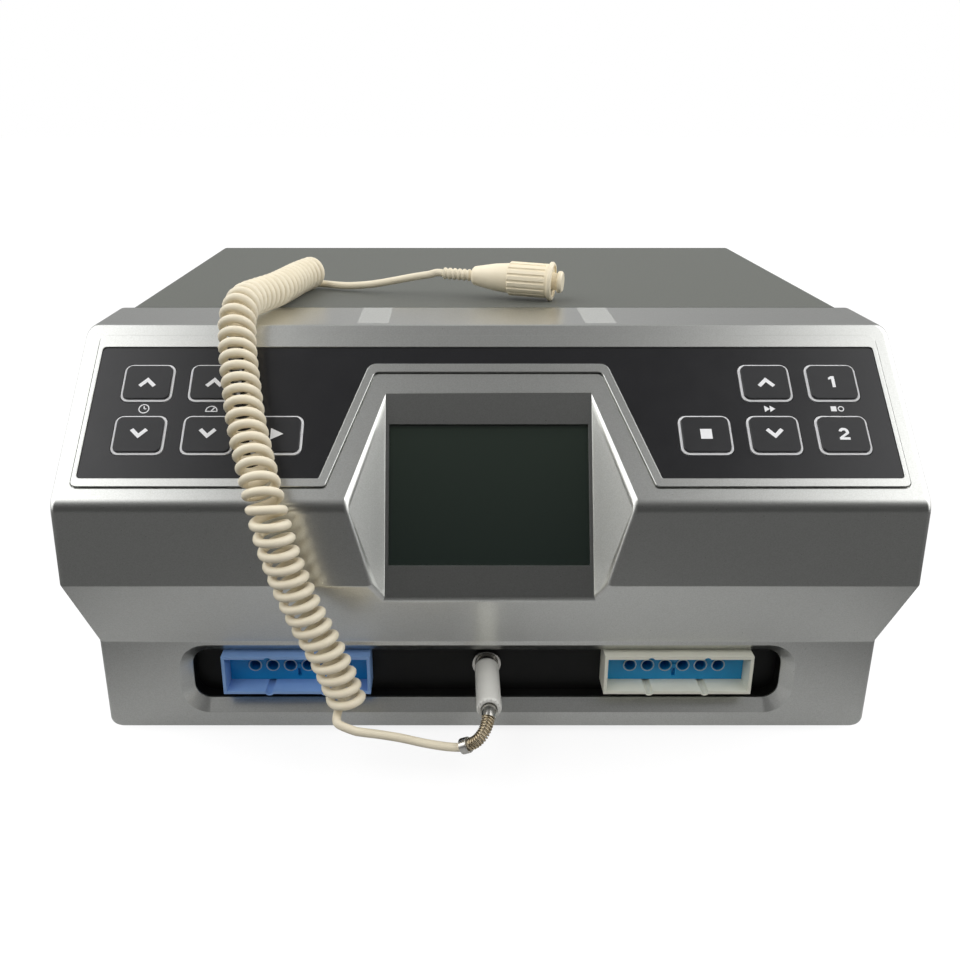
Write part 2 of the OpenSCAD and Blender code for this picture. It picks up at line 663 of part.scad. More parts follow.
function bezier(q, u) = pow(1 - u, 3) * q[0] + 3 * u * pow(1 - u, 2) * q[1]
  + 3 * u * u * (1 - u) * q[2] + pow(u, 3) * q[3];
// Point on a smooth curve through the list q, u in spans
function through(q, u) = let (n = len(q), i = min(floor(u), n - 2), f = u - i)
  let (a = q[max(i - 1, 0)], b = q[i], c = q[i + 1], d = q[min(i + 2, n - 1)])
  let (m0 = (c - a) / 2, m1 = (d - b) / 2)
  (2 * f * f * f - 3 * f * f + 1) * b + (f * f * f - 2 * f * f + f) * m0
  + (3 * f * f - 2 * f * f * f) * c + (f * f * f - f * f) * m1;
function run_lengths(p, i = 0, sum = 0) = i == len(p) - 1 ? [sum]
  : concat([sum], run_lengths(p, i + 1, sum + norm(p[i + 1] - p[i])));
// A curve as tables of each coordinate against its length
function curve_tables(p) = let (s = run_lengths(p))
  [for (axis = [0:2]) [for (i = [0:len(p) - 1]) [s[i], p[i][axis]]]];
function on_curve(tables, s) = [for (axis = [0:2]) lookup(s, tables[axis])];
function curve_dir(tables, s, total) =
  unit(on_curve(tables, min(s + 1, total)) - on_curve(tables, max(s - 1, 0)));
// Points and side directions of a left-hand helix of radius r round a curve.
// lengths holds the place of each ring along the curve; ref is a direction off the surface.
function helix(tables, total, lengths, r, phase, ref) =
  [for (i = [0:len(lengths) - 1])
    let (s = lengths[i], t = curve_dir(tables, s, total), a = phase + 360 * i / rings_per_curl)
    let (b = unit(cross(t, ref)), n = cross(b, t), side = cos(a) * b + sin(a) * n)
    [on_curve(tables, s) + r * side, side]];
function least_gap(p, d, apart) =
  min([for (i = [0:len(p) - 1], j = [i + apart:1:len(p) - 1]) norm(p[i] - p[j])]) - d;
rings_per_curl = 8;
wound_sides = 6;

// ---------- cord ----------
// Middle line of the curly cord, from its lower end up the front and back over the cover
coil_route = [[-66, -189, 34], [-71, -189, 51], [-77, -189, 67], [-84, -189, 83], [-90.5, -189, 101],
  [-96, -189, 121], [-99.5, -186.3, 136], [-103.5, -178, 147], [-107.5, -168, 155.5],
  [-112, -155.5, 166], [-116, -141, 178], [-119.5, -127, 189.5], [-122, -112, 201.5],
  [-122, -102, 206.8], [-121, -91, 208.8], [-117.5, -74, 208.4], [-112.5, -55, 207.9],
  [-109, -36, 207.8], [-105.5, -15, 207.8], [-100, 5, 207.8]];
coil_r = (coil_d - cord_d) / 2;
coil_line = [for (i = [0:8 * (len(coil_route) - 1)]) through(coil_route, i / 8)];
coil_tables = curve_tables(coil_line);
coil_total = run_lengths(coil_line)[len(coil_line) - 1];
close_from = run_lengths([for (i = [0:8 * 13]) through(coil_route, i / 8)])[8 * 13];
coil_ref = [0, -1, 1];
// One ring before the first and one after the last give the directions of the ends
coil_rings = rings_per_curl * (open_curls + close_curls) + 5;
coil_places = [for (i = [0:coil_rings - 1])
  let (curl = i / rings_per_curl)
  curl < open_curls ? close_from * curl / open_curls
  : close_from + (coil_total - close_from) * (curl - open_curls) / (close_curls + 0.5)];
coil_helix = helix(coil_tables, coil_total, coil_places, coil_r, 180 - 360 / rings_per_curl, coil_ref);
coil_last = coil_rings - 2;
coil_points = [for (i = [1:coil_last]) coil_helix[i][0]];
lead_dir = unit(coil_helix[0][0] - coil_helix[2][0]);
tail_run = coil_helix[coil_last + 1][0] - coil_helix[coil_last - 1][0];
tail_dir = unit([tail_run[0], tail_run[1], 0]);   // level, so that the cord stays off the cover
coil_start = coil_points[0] + cord_d * lead_dir;
coil_end = coil_points[coil_last - 1] + cord_d * tail_dir;
coil_tube = concat([coil_start], coil_points, [coil_end]);
coil_sides = concat([coil_helix[1][1]], [for (i = [1:coil_last]) coil_helix[i][1]],
  [coil_helix[coil_last][1]]);
echo(curls = open_curls + close_curls, least_gap = least_gap(coil_points, cord_d, 5),
  cord_in_curls = run_lengths(coil_tube)[len(coil_tube) - 1]);
module cord_coil() color(ivory) tube(coil_tube, coil_sides, cord_d, wound_sides);

// The plug's spring bends down to the left out of the sleeve; the cord runs inside it
spring_bend = [[0, sleeve_y + spring_seat, jack_z], [0, sleeve_y - 9, jack_z],
  [-2.5, sleeve_y - 13, jack_z - 8], [-9.5, sleeve_y - 10.5, jack_z - 12]];
spring_line = [for (i = [0:40]) bezier(spring_bend, i / 40)];
spring_tables = curve_tables(spring_line);
spring_total = run_lengths(spring_line)[40];
spring_places = [for (i = [0:rings_per_curl * spring_curls])
  spring_wire / 2 + (spring_total - spring_wire) * i / (rings_per_curl * spring_curls)];
spring_helix = helix(spring_tables, spring_total, spring_places, (spring_d - spring_wire) / 2, 0,
  [0.3, 0, 1]);
spring_points = [for (h = spring_helix) h[0]];
echo(spring_curls = spring_curls, spring_gap = least_gap(spring_points, spring_wire, 5));
module plug_spring() color("silver") tube(spring_points, [for (h = spring_helix) h[1]],
  spring_wire, wound_sides);

ferrule_l = 4;
spring_end = spring_bend[3];
spring_end_dir = unit(spring_bend[3] - spring_bend[2]);
module plug_ferrule() color("gainsboro") translate(spring_end)
  rotate([0, acos(spring_end_dir[2]), atan2(spring_end_dir[1], spring_end_dir[0])]) difference() {
    cylinder(d = spring_d + 0.6, h = ferrule_l);
    translate([0, 0, -1]) cylinder(d = cord_d + 0.4, h = ferrule_l + 2);
  }

// Route of the straight cord from the ferrule to the lower end of the curls
lead_route = [[-21, -196, 17.5], [-31, -194, 18], [-42, -193.5, 20.5], [-52, -195, 23.5],
  [-60, -197.5, 26.5], [-66.5, -199, 29], [-71.5, -197.5, 31.5]];
ferrule_end = spring_end + ferrule_l * spring_end_dir;
lead_points = concat([for (i = [1:3:40]) spring_line[i]], [ferrule_end, ferrule_end + 2 * spring_end_dir],
  lead_route, [coil_start + cord_d * lead_dir]);
lead_smooth = concat([for (i = [0:2 * (len(lead_points) - 1)]) through(lead_points, i / 2)], [coil_start]);
module cord_lead() color(ivory) plain_tube(lead_smooth, cord_d, 10);

// It lies on its flange on the cover, turned towards the front
handset_turn = -15.3;
handset_dip = 1.7;
flange_at = relief_l + grip_l + collar_l;
handset_x = -22.5;
handset_y = -17;
handset_z = top_z + flange_d / 2 + 0.02 + flange_at * sin(handset_dip) + flange_t * sin(handset_dip);
function handset_point(x) = [handset_x, handset_y, handset_z]
  + x * [cos(handset_dip) * cos(handset_turn), cos(handset_dip) * sin(handset_turn), -sin(handset_dip)];

// Route of the straight cord from the upper end of the curls to the hand switch
tail_route = [[-82, -2.5, 201], [-73, -5.5, 201.6], [-63, -8.5, 203], [-52, -11.5, 205.3],
  [-40, -14.5, 208], [-31, -16, 209.6]];
tail_points = concat([coil_end + cord_d * tail_dir], tail_route, [handset_point(-cord_d)]);
tail_smooth = concat([coil_end], [for (i = [0:3 * (len(tail_points) - 1)]) through(tail_points, i / 3)],
  [handset_point(0)]);
module cord_tail() color(ivory) plain_tube(tail_smooth, cord_d, 10);

// ---------- hand switch ----------
module on_handset() translate([handset_x, handset_y, handset_z])
  rotate([0, handset_dip, handset_turn]) rotate([0, 90, 0]) children();

relief_ribs = 6;
rib_pitch = relief_l / relief_ribs;
relief_core = cord_d + 1.2;
grip_bore = 6;
module handset_relief() color(ivory) on_handset() rotate_extrude()
  polygon(concat([[0, 0]], [for (i = [0:relief_ribs - 1]) each [[relief_core / 2, i * rib_pitch],
    [relief_d / 2, i * rib_pitch + 0.4], [relief_d / 2, i * rib_pitch + rib_pitch * 0.5],
    [relief_core / 2, i * rib_pitch + rib_pitch * 0.65]]],
    [[relief_core / 2, relief_l + 4], [0, relief_l + 4]]));

grip_wall = 1.8;
module handset_body() color(ivory) on_handset() difference() {
  translate([0, 0, relief_l]) rotate_extrude() polygon([[0, 0], [grip_d1 / 2 - 1.2, 0],
    [grip_d1 / 2, 1.2], [grip_d2 / 2 - 0.8, grip_l * 0.62], [grip_d2 / 2, grip_l],
    [grip_d2 / 2 - 1, grip_l], [grip_d2 / 2 - 1, grip_l + 8], [0, grip_l + 8]]);
  translate([0, 0, relief_l - 1]) cylinder(d = relief_core + 0.1, h = 5);
  translate([0, 0, relief_l + 8]) cylinder(d = grip_d2 - 2 - 2 * grip_wall, h = grip_l + 8);
}

flute_r = 0.9;
collar_y0 = relief_l + grip_l;
module handset_collar() color(ivory) on_handset() difference() {
  translate([0, 0, collar_y0]) rotate_extrude() polygon([[0, 0], [collar_d / 2 - 0.6, 0],
    [collar_d / 2, 0.6], [collar_d / 2, collar_l], [flange_d / 2 - 0.5, collar_l],
    [flange_d / 2, collar_l + 0.5], [flange_d / 2, collar_l + flange_t - 0.8],
    [flange_d / 2 - 0.8, collar_l + flange_t], [0, collar_l + flange_t]]);
  for (i = [0:flute_count - 1]) rotate([0, 0, 360 * i / flute_count])
    translate([collar_d / 2 + 0.2, 0, collar_y0 - 1]) cylinder(r = flute_r, h = collar_l - 0.5, $fn = 16);
  translate([0, 0, collar_y0 - 1]) cylinder(d = grip_d2 - 2 + 0.1, h = 9.2);
  translate([0, 0, collar_y0]) cylinder(d = grip_d2 - 4, h = flange_face - collar_front - collar_y0);
  translate([0, 0, collar_y0]) cylinder(d = neck_d + 2 * fit, h = collar_l + flange_t + 1);
  // dished end face round the button
  translate([0, 0, collar_y0 + collar_l + flange_t - 0.8]) cylinder(d = flange_d - 4, h = 2);
}

neck_show = button_travel + 0.8;
collar_front = flange_t + 0.2;       // wall between the collar's bore and its dished face
button_stop = collar_front + 0.3;    // the stop ring rests behind that wall
button_inner = button_stop + 2;
flange_face = collar_y0 + collar_l + flange_t - 0.8;
module handset_button() color(ivory) on_handset() translate([0, 0, flange_face]) rotate_extrude()
  polygon([[0, -button_inner], [neck_d / 2 + 1, -button_inner], [neck_d / 2 + 1, -button_stop],
    [neck_d / 2, -button_stop],
    [neck_d / 2, neck_show], [head_d / 2 - 0.5, neck_show], [head_d / 2, neck_show + 0.5],
    [head_d / 2, neck_show + head_t - 0.8], [head_d / 2 - 0.8, neck_show + head_t],
    [0, neck_show + head_t]]);

switch_top = flange_face - button_inner - button_travel - 0.3;
module handset_switch() color("dimgray") on_handset() translate([0, 0, relief_l + 8])
  cylinder(d = grip_d2 - 2 - 2 * grip_wall - 0.2, h = switch_top - relief_l - 8);

// ---------- tray, feet, cover, rear ----------
foot_x = cover_w / 2 - 28;
foot_front_y = lower_y + 30;
foot_rear_y = panel_y - 26;
foot_d = 22;
foot_pin = 5;
module at_feet() for (x = [-foot_x, foot_x], y = [foot_front_y, foot_rear_y])
  translate([x, y, 0]) children();

tray_half = inner_half - fit;
tray_front_half = cover_w / 2 - bezel_wall - fit;
tray_front_y = lower_y + bezel_wall + fit;
flange_up = 16;
screw_z = floor_top + 8;
seam = 0.8;           // open joint between the front moulding and the cover
cover_l = panel_y - band_back_y;
screw_ys = [for (f = [0.13, 0.5, 0.87]) band_back_y + f * cover_l];
module at_cover_screws() for (side = [-1, 1], y = screw_ys)
  translate([side * cover_w / 2, y, screw_z]) rotate([0, side * 90, 0]) children();

module base_tray() color("lightgray") difference() {
  union() {
    box([-tray_front_half, tray_front_y, floor_z], [tray_front_half, band_back_y + 1, floor_top]);
    box([-tray_half, band_back_y + fit, floor_z], [tray_half, panel_y - sheet, floor_top]);
    for (side = [-1, 1]) mirror([side > 0 ? 0 : 1, 0, 0])
      box([tray_half - sheet, band_back_y + tongue_l + 2, floor_z],
        [tray_half, panel_y - sheet, floor_top + flange_up]);
  }
  at_feet() translate([0, 0, floor_z - 1]) cylinder(d = foot_pin + 0.1, h = sheet + 2);
  at_cover_screws() translate([0, 0, -sheet * 2 - 2]) cylinder(d = screw_d + fit, h = 10);
  // air intake under the compressor
  for (i = [-4:4]) box([i * intake_pitch - 2, pump_y + 0.28 * pump_l, floor_z - 1],
    [i * intake_pitch + 2, pump_y + 0.72 * pump_l, floor_top + 1]);
}

module rubber_feet() color("dimgray") at_feet() difference() {
  union() {
    rotate_extrude() polygon([[0, 0], [foot_d / 2 - 1, 0], [foot_d / 2, 1], [foot_d / 2 - 1.5, floor_z],
      [0, floor_z]]);
    cylinder(d = foot_pin, h = floor_top + 1.5);
    translate([0, 0, floor_top]) cylinder(d = foot_pin + 2, h = 1.5);
  }
  translate([0, 0, -1]) cylinder(d = foot_pin, h = 2);
}

vent_l = 0.13 * top_z;
vent_pitch = cover_l / 32;
vent_w = 3;
cover_profile = rounded([[-cover_w / 2, floor_z], [cover_w / 2, floor_z], [cover_w / 2, top_z],
  [-cover_w / 2, top_z]], [0, 0, cover_r, cover_r]);
cover_inside = rounded([[-cover_w / 2 + sheet, floor_z - 1], [cover_w / 2 - sheet, floor_z - 1],
  [cover_w / 2 - sheet, top_z - sheet], [-cover_w / 2 + sheet, top_z - sheet]],
  [0, 0, cover_r - sheet, cover_r - sheet]);
module top_cover() color(cover_grey) difference() {
  along_y(band_back_y + seam, back_y) polygon(cover_profile);
  along_y(band_back_y, back_y + 1) polygon(cover_inside);
  at_cover_screws() translate([0, 0, -sheet - 1]) cylinder(d = screw_d + fit, h = sheet + 2);
  // two rows of louvre slots in each side
  for (f = [0.35, 0.6], i = [0:9])
    translate([0, panel_y - 0.25 * cover_l - i * vent_pitch, f * top_z])
    cube([cover_w + 2, vent_w, vent_l], center = true);
}

screw_head_t = 1.8;
module cover_screws() color("silver") at_cover_screws() {
  translate([0, 0, -sheet * 2 - 1.5]) cylinder(d = screw_d, h = sheet * 2 + 2);
  rotate_extrude() polygon([[0, 0], [0.95 * screw_d, 0], [0.95 * screw_d, 0.7],
    [0.7 * screw_d, screw_head_t], [0, screw_head_t]]);
}

inlet_w = 27.6;
inlet_h = 20.4;
switch_w2 = 19.4;
switch_h2 = 13.2;
module rear_panel() color(cover_grey) difference() {
  along_y(panel_y - sheet, panel_y) polygon(rounded([[-inner_half, floor_z], [inner_half, floor_z],
    [inner_half, rear_top_z], [-inner_half, rear_top_z]], [0, 0, cover_r, cover_r]));
  along_y(panel_y - sheet - 1, panel_y + 1) translate([inlet_x, rear_row_z])
    polygon(rect(inlet_w, inlet_h));
  along_y(panel_y - sheet - 1, panel_y + 1) translate([switch_x, rear_row_z])
    polygon(rect(switch_w2, switch_h2));
  for (i = [0:11], f = [0.3, 0.5]) translate([-0.78 * inner_half + i * vent_pitch, panel_y, f * top_z])
    cube([vent_w, 4 * sheet, vent_l], center = true);
}

inlet_flange_t = 2.6;
inlet_body_l = 24;
pin_l = 14;
module mains_inlet() color(black) translate([inlet_x, 0, rear_row_z]) {
  difference() {
    union() {
      along_y(panel_y, panel_y + inlet_flange_t) polygon(round_rect(inlet_w + 4, inlet_h + 4, 3));
      along_y(panel_y - inlet_body_l, panel_y + 1) polygon(rect(inlet_w - fit, inlet_h - fit));
    }
    along_y(panel_y - inlet_body_l + 3, panel_y + inlet_flange_t + 1)
      polygon([[-12, -8.2], [12, -8.2], [12, 4], [8, 8.2], [-8, 8.2], [-12, 4]]);
  }
  color("gainsboro") for (p = [[-7, -2], [7, -2], [0, 2]])
    box([p[0] - 1, panel_y - inlet_body_l + 2.5, p[1] - 2],
      [p[0] + 1, panel_y - inlet_body_l + 2.5 + pin_l, p[1] + 2]);
}

bezel2_w = 21.4;
bezel2_h = 15.2;
rocker_w = 15;
rocker_h = 10;
switch_body_l = 18;
rocker_y = panel_y - 2;    // hinge line of the rocker
module switch_frame() color(black) translate([switch_x, 0, rear_row_z]) difference() {
  union() {
    along_y(panel_y, panel_y + 1.6) polygon(round_rect(bezel2_w, bezel2_h, 1.5));
    along_y(panel_y - switch_body_l, panel_y + 0.5) polygon(rect(switch_w2 - fit, switch_h2 - fit));
  }
  along_y(panel_y - 11, panel_y + 3) polygon(rect(rocker_w + 0.8, rocker_h + 0.8));
  translate([-20, rocker_y, 0]) rotate([0, 90, 0]) cylinder(d = 2.6, h = 40);
}

// The rocker tips about its pin; it is drawn in its off position
module power_rocker() color([0.15, 0.15, 0.15])
  translate([switch_x, rocker_y, rear_row_z]) rotate([0, 90, 0]) {
    rotate([0, 0, rocker_swing / 2]) linear_extrude(rocker_w, center = true)
      polygon([[-4.3, -2.5], [4.3, -2.5], [4.7, 2.6], [4.4, 4.6], [0, 3.4], [-4.4, 4.6], [-4.7, 2.6]]);
    cylinder(d = 2, h = rocker_w + 2.6, center = true);
  }

// ---------- inside ----------
pump_y = band_back_y + 0.19 * cover_l;
intake_pitch = 0.09 * pump_w;
pump_floor = floor_top + mount_h;
mount_d = 16;
module at_mounts() for (x = [-1, 1], y = [-1, 1])
  translate([x * (pump_w / 2 - 14), pump_y + pump_l / 2 + y * (pump_l / 2 - 12), floor_top]) children();

supply_z = 36;
supply_d = 9;
fin_pitch = 8;
module air_compressor() color("silver") difference() {
  union() {
    translate([0, pump_y + pump_l / 2, pump_floor]) linear_extrude(pump_h)
      polygon(round_rect(pump_w - 36, pump_l, 8));
    // pump heads at both ends, on the same base
    for (side = [-1, 1]) translate([side * (pump_w / 2 - 9), pump_y + pump_l / 2, pump_floor])
      linear_extrude(pump_h - 12) polygon(round_rect(18, pump_l - 14, 5));
    translate([0, pump_y + pump_l / 2, pump_floor]) linear_extrude(4)
      polygon(round_rect(pump_w, pump_l, 4));
    for (i = [0:7]) box([-pump_w / 2 + 20, pump_y + 12 + i * fin_pitch, pump_floor + pump_h - 1],
      [pump_w / 2 - 20, pump_y + 15 + i * fin_pitch, pump_floor + pump_h + 6]);
    rod_y([0, pump_y - 8, supply_z], supply_d - 3, 10);
  }
  rod_y([0, pump_y - 9, supply_z], supply_d - 6, 14);
}

module compressor_mounts() color("dimgray") at_mounts() rotate_extrude()
  polygon([[0, 0], [mount_d / 2, 0], [mount_d / 2 - 3, mount_h / 2], [mount_d / 2, mount_h], [0, mount_h]]);

manifold_y = port_rear_y + hose_l;
manifold_l = 22;
manifold_w = socket_w - 4;
manifold_z = 24;
manifold_h = 22;
module valve_manifold() color("lightgray") for (side = [-1, 1]) translate([side * socket_x, 0, 0])
  difference() {
    union() {
      box([-manifold_w / 2, manifold_y, manifold_z],
        [manifold_w / 2, manifold_y + manifold_l, manifold_z + manifold_h]);
      for (x = [-manifold_w / 2, manifold_w / 2 - 8])
        box([x, manifold_y + 4, floor_top], [x + 8, manifold_y + manifold_l - 4, manifold_z + 1]);
      for (i = [0:port_count - 1]) rod_y([port_x(i), manifold_y - spigot_l, port_z], spigot_d, spigot_l + 1);
      translate([-side * (manifold_w / 2 - 1), manifold_y + manifold_l / 2, supply_z])
        rotate([0, -side * 90, 0]) cylinder(d = supply_d - 3, h = 9);
    }
    for (i = [0:port_count - 1]) rod_y([port_x(i), manifold_y - spigot_l - 1, port_z], 2, spigot_l + 6);
  }

valve_d = 8.4;
valve_h = 26;
module solenoid_valves() color("darkslategray") for (side = [-1, 1], i = [0:port_count - 1])
  translate([side * socket_x + port_x(i), manifold_y + manifold_l / 2, manifold_z + manifold_h]) {
    cylinder(d = valve_d - 2, h = valve_h);
    translate([0, 0, 3]) cylinder(d = valve_d, h = valve_h - 8);
  }

hose_wall = 0.9;
module port_hoses() color([0.85, 0.88, 0.9]) for (side = [-1, 1], i = [0:port_count - 1])
  difference() {
    rod_y([side * socket_x + port_x(i), port_rear_y + 0.5, port_z], hose_d, manifold_y - port_rear_y - 1);
    rod_y([side * socket_x + port_x(i), port_rear_y, port_z], spigot_d + 0.1, manifold_y - port_rear_y);
  }

tee_y = manifold_y + manifold_l / 2;
cross_half = socket_x - manifold_w / 2 - 0.5;
module supply_hose() color("dimgray") difference() {
  union() {
    rod_y([0, tee_y, supply_z], supply_d, pump_y - 0.5 - tee_y);
    translate([-cross_half, tee_y, supply_z]) rotate([0, 90, 0]) cylinder(d = supply_d, h = 2 * cross_half);
  }
  rod_y([0, tee_y, supply_z], supply_d - 2.8, pump_y + 1 - tee_y);
  translate([-cross_half - 1, tee_y, supply_z]) rotate([0, 90, 0])
    cylinder(d = supply_d - 2.8, h = 2 * cross_half + 2);
}

main_x = inner_half - 8 - main_w / 2;
main_y = panel_y - 40 - main_l / 2;
board_z = floor_top + board_gap;
post_d = 6;
module at_posts() for (side = [-1, 1], x = [-1, 1], y = [-1, 1])
  translate([side * main_x + x * (main_w / 2 - 6), main_y + y * (main_l / 2 - 6), floor_top]) children();
module board_posts() color("gainsboro") at_posts() cylinder(d = post_d, h = board_gap, $fn = 6);

module main_board(side) color(board_green) translate([side * main_x, main_y, board_z])
  linear_extrude(board_t) polygon(round_rect(main_w, main_l, 2));
module control_board() {
  main_board(-1);
  color("dimgray") translate([-main_x, main_y, board_z + board_t]) {
    box([-main_w / 6, -main_l / 9, -eps], [main_w / 6, main_l / 9, 2.6]);
    for (k = [-2:2]) box([main_w * (k / 6 - 0.05), 0.26 * main_l, -eps],
      [main_w * (k / 6 + 0.05), 0.35 * main_l, 9]);
    for (f = [-0.37, -0.23]) box([-0.38 * main_w, f * main_l, -eps],
      [-0.25 * main_w, (f + 0.08) * main_l, 12]);
  }
}
module power_board() {
  main_board(1);
  color("darkorange") translate([main_x, main_y, board_z + board_t]) {
    box([-0.31 * main_w, -0.38 * main_l, -eps], [0.23 * main_w, -0.05 * main_l, 38]);
    for (f = [0.08, 0.25]) translate([-0.25 * main_w, f * main_l, -eps])
      cylinder(d = 0.18 * main_w, h = 30);
    color("silver") box([0.04 * main_w, 0.05 * main_l, -eps], [0.08 * main_w, 0.41 * main_l, 34]);
  }
}

base_tray();
rubber_feet();
top_cover();
cover_screws();
rear_panel();
front_bezel();
keypad_frame();
keypad_plate();
key(upper_keys[0], row_upper);  // key_time_up
key(upper_keys[1], row_upper);  // key_pressure_up
key(upper_keys[2], row_upper);  // key_speed_up
key(upper_keys[3], row_upper);  // key_mode_1
key(lower_keys[0], row_lower);  // key_time_down
key(lower_keys[1], row_lower);  // key_pressure_down
key(lower_keys[2], row_lower);  // key_start
key(lower_keys[3], row_lower);  // key_stop
key(lower_keys[4], row_lower);  // key_speed_down
key(lower_keys[5], row_lower);  // key_mode_2
keypad_board(-1);  // keypad_board_left
keypad_board(1);  // keypad_board_right
key_switches();
lcd_glass();
lcd_module();
bay_surround();
socket_plate();
color([0.3, 0.42, 0.78]) socket_shroud(-1);  // socket_shroud_left
color([0.8, 0.8, 0.74]) socket_shroud(1);  // socket_shroud_right
port_block(-1);  // port_block_left
port_block(1);  // port_block_right
jack_socket();
jack_nut();
plug_shank();
plug_sleeve();
plug_spring();
plug_ferrule();
cord_lead();
cord_coil();
cord_tail();
handset_relief();
handset_body();
handset_collar();
handset_button();
handset_switch();
mains_inlet();
switch_frame();
power_rocker();
air_compressor();
compressor_mounts();
valve_manifold();
solenoid_valves();
port_hoses();
supply_hose();
control_board();
power_board();
board_posts();
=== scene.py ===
import json
from math import cos, radians, sin

import bmesh
import bpy
import numpy as np
from mathutils import Matrix, Vector

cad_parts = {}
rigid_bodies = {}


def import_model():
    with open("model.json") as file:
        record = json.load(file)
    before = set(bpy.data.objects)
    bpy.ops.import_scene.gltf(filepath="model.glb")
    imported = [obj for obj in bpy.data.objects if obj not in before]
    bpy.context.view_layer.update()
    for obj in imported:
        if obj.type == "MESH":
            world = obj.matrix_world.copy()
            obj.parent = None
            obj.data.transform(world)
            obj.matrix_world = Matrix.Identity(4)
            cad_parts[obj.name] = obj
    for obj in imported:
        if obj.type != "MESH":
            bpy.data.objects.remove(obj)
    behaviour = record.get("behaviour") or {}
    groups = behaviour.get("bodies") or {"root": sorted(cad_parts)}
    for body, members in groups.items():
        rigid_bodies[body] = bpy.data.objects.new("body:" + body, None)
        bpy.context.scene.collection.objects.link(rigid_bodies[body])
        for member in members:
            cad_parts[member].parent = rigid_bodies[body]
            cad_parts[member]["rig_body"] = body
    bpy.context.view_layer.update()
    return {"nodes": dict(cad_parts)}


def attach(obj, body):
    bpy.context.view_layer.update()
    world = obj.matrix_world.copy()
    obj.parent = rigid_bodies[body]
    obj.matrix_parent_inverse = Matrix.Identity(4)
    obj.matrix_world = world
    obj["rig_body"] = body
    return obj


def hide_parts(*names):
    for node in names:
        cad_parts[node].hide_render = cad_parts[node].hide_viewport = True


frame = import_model()
nodes = frame["nodes"]


# ---- Camera ----
# Stands a little left of the middle in front of the pump and looks down on its keypad.
# Its shift is the framing of the photograph.
camera = bpy.data.objects.new("camera", bpy.data.cameras.new("camera"))
bpy.context.scene.collection.objects.link(camera)
bpy.context.scene.camera = camera
camera.location = (-0.0167, -0.593, 0.304)
camera.rotation_euler = (radians(90 - 20.9), 0, 0)
camera.data.lens, camera.data.sensor_width = 37.5, 36
camera.data.shift_x = 0.0272
camera.data.clip_start = 0.01


# ---- Curly cord of the hand switch ----
# Ivory vinyl, 4.2 mm thick, wound into left-hand curls that hang in front of the pump and lie
# close together on its cover. One lead from plug to hand switch, drawn over a mandrel when warm.
CORD_D = 0.0042
COIL_R = (0.0185 - CORD_D) / 2
OPEN_CURLS, CLOSE_CURLS = 33, 18
COIL_ROUTE = np.array([
    (-.066, -.189, .034), (-.071, -.189, .051), (-.077, -.189, .067), (-.084, -.189, .083),
    (-.0905, -.189, .101), (-.096, -.189, .121), (-.0995, -.1863, .136), (-.1035, -.178, .147),
    (-.1075, -.168, .1555), (-.112, -.1555, .166), (-.116, -.141, .178), (-.1195, -.127, .1895),
    (-.122, -.112, .2015), (-.122, -.102, .2068), (-.121, -.091, .2088), (-.1175, -.074, .2084),
    (-.1125, -.055, .2079), (-.109, -.036, .2078), (-.1055, -.015, .2078), (-.1, .005, .2078)])
LEAD_ROUTE = [(-.021, -.196, .0175), (-.031, -.194, .018), (-.042, -.1935, .0205),
              (-.052, -.195, .0235), (-.06, -.1975, .0265), (-.0665, -.199, .029),
              (-.0715, -.1975, .0315)]
TAIL_ROUTE = [(-.082, -.0025, .201), (-.073, -.0055, .2016), (-.063, -.0085, .203),
              (-.052, -.0115, .2053), (-.04, -.0145, .208), (-.031, -.016, .2096)]
SPRING_BEND = [np.array(p) for p in (
    (0, -.1866, .0335), (0, -.1986, .0335), (-.0025, -.2026, .0255), (-.0095, -.2001, .0215))]
FERRULE_L = 0.004
HAND_DIP, HAND_TURN = radians(1.7), radians(-15.3)
HAND_AXIS = np.array((cos(HAND_DIP) * cos(HAND_TURN), cos(HAND_DIP) * sin(HAND_TURN), -sin(HAND_DIP)))
HAND_START = np.array((-.0225, -.017, .198 + .0213 / 2 + .00002 + (.061 + .0026) * sin(HAND_DIP)))


def unit(v):
    return v / np.linalg.norm(v)


def eased(knots, per_span):
    """A smooth line through the knots, per_span steps from each to the next."""
    knots = np.array(knots, float)
    out = []
    for i in range(len(knots) - 1):
        a, b = knots[max(i - 1, 0)], knots[i]
        c, d = knots[i + 1], knots[min(i + 2, len(knots) - 1)]
        m0, m1 = (c - a) / 2, (d - b) / 2
        for f in np.arange(per_span) / per_span:
            out.append((2 * f**3 - 3 * f * f + 1) * b + (f**3 - 2 * f * f + f) * m0
                       + (3 * f * f - 2 * f**3) * c + (f**3 - f * f) * m1)
    return np.array(out + [knots[-1]])


def lengths_along(line):
    return np.concatenate([[0], np.cumsum(np.linalg.norm(np.diff(line, axis=0), axis=1))])


def wound(line, places, angles, radius, off):
    """Points of a left-hand winding round the line; off is a direction away from what it lies on."""
    s = lengths_along(line)
    at = lambda q: np.array([np.interp(q, s, line[:, k]) for k in range(3)]).T
    mid, ahead, behind = at(places), at(places + .001), at(places - .001)
    along = np.array([unit(v) for v in ahead - behind])
    b = np.array([unit(np.cross(t, off)) for t in along])
    n = np.cross(b, along)
    return mid + radius * (np.cos(angles)[:, None] * b + np.sin(angles)[:, None] * n)


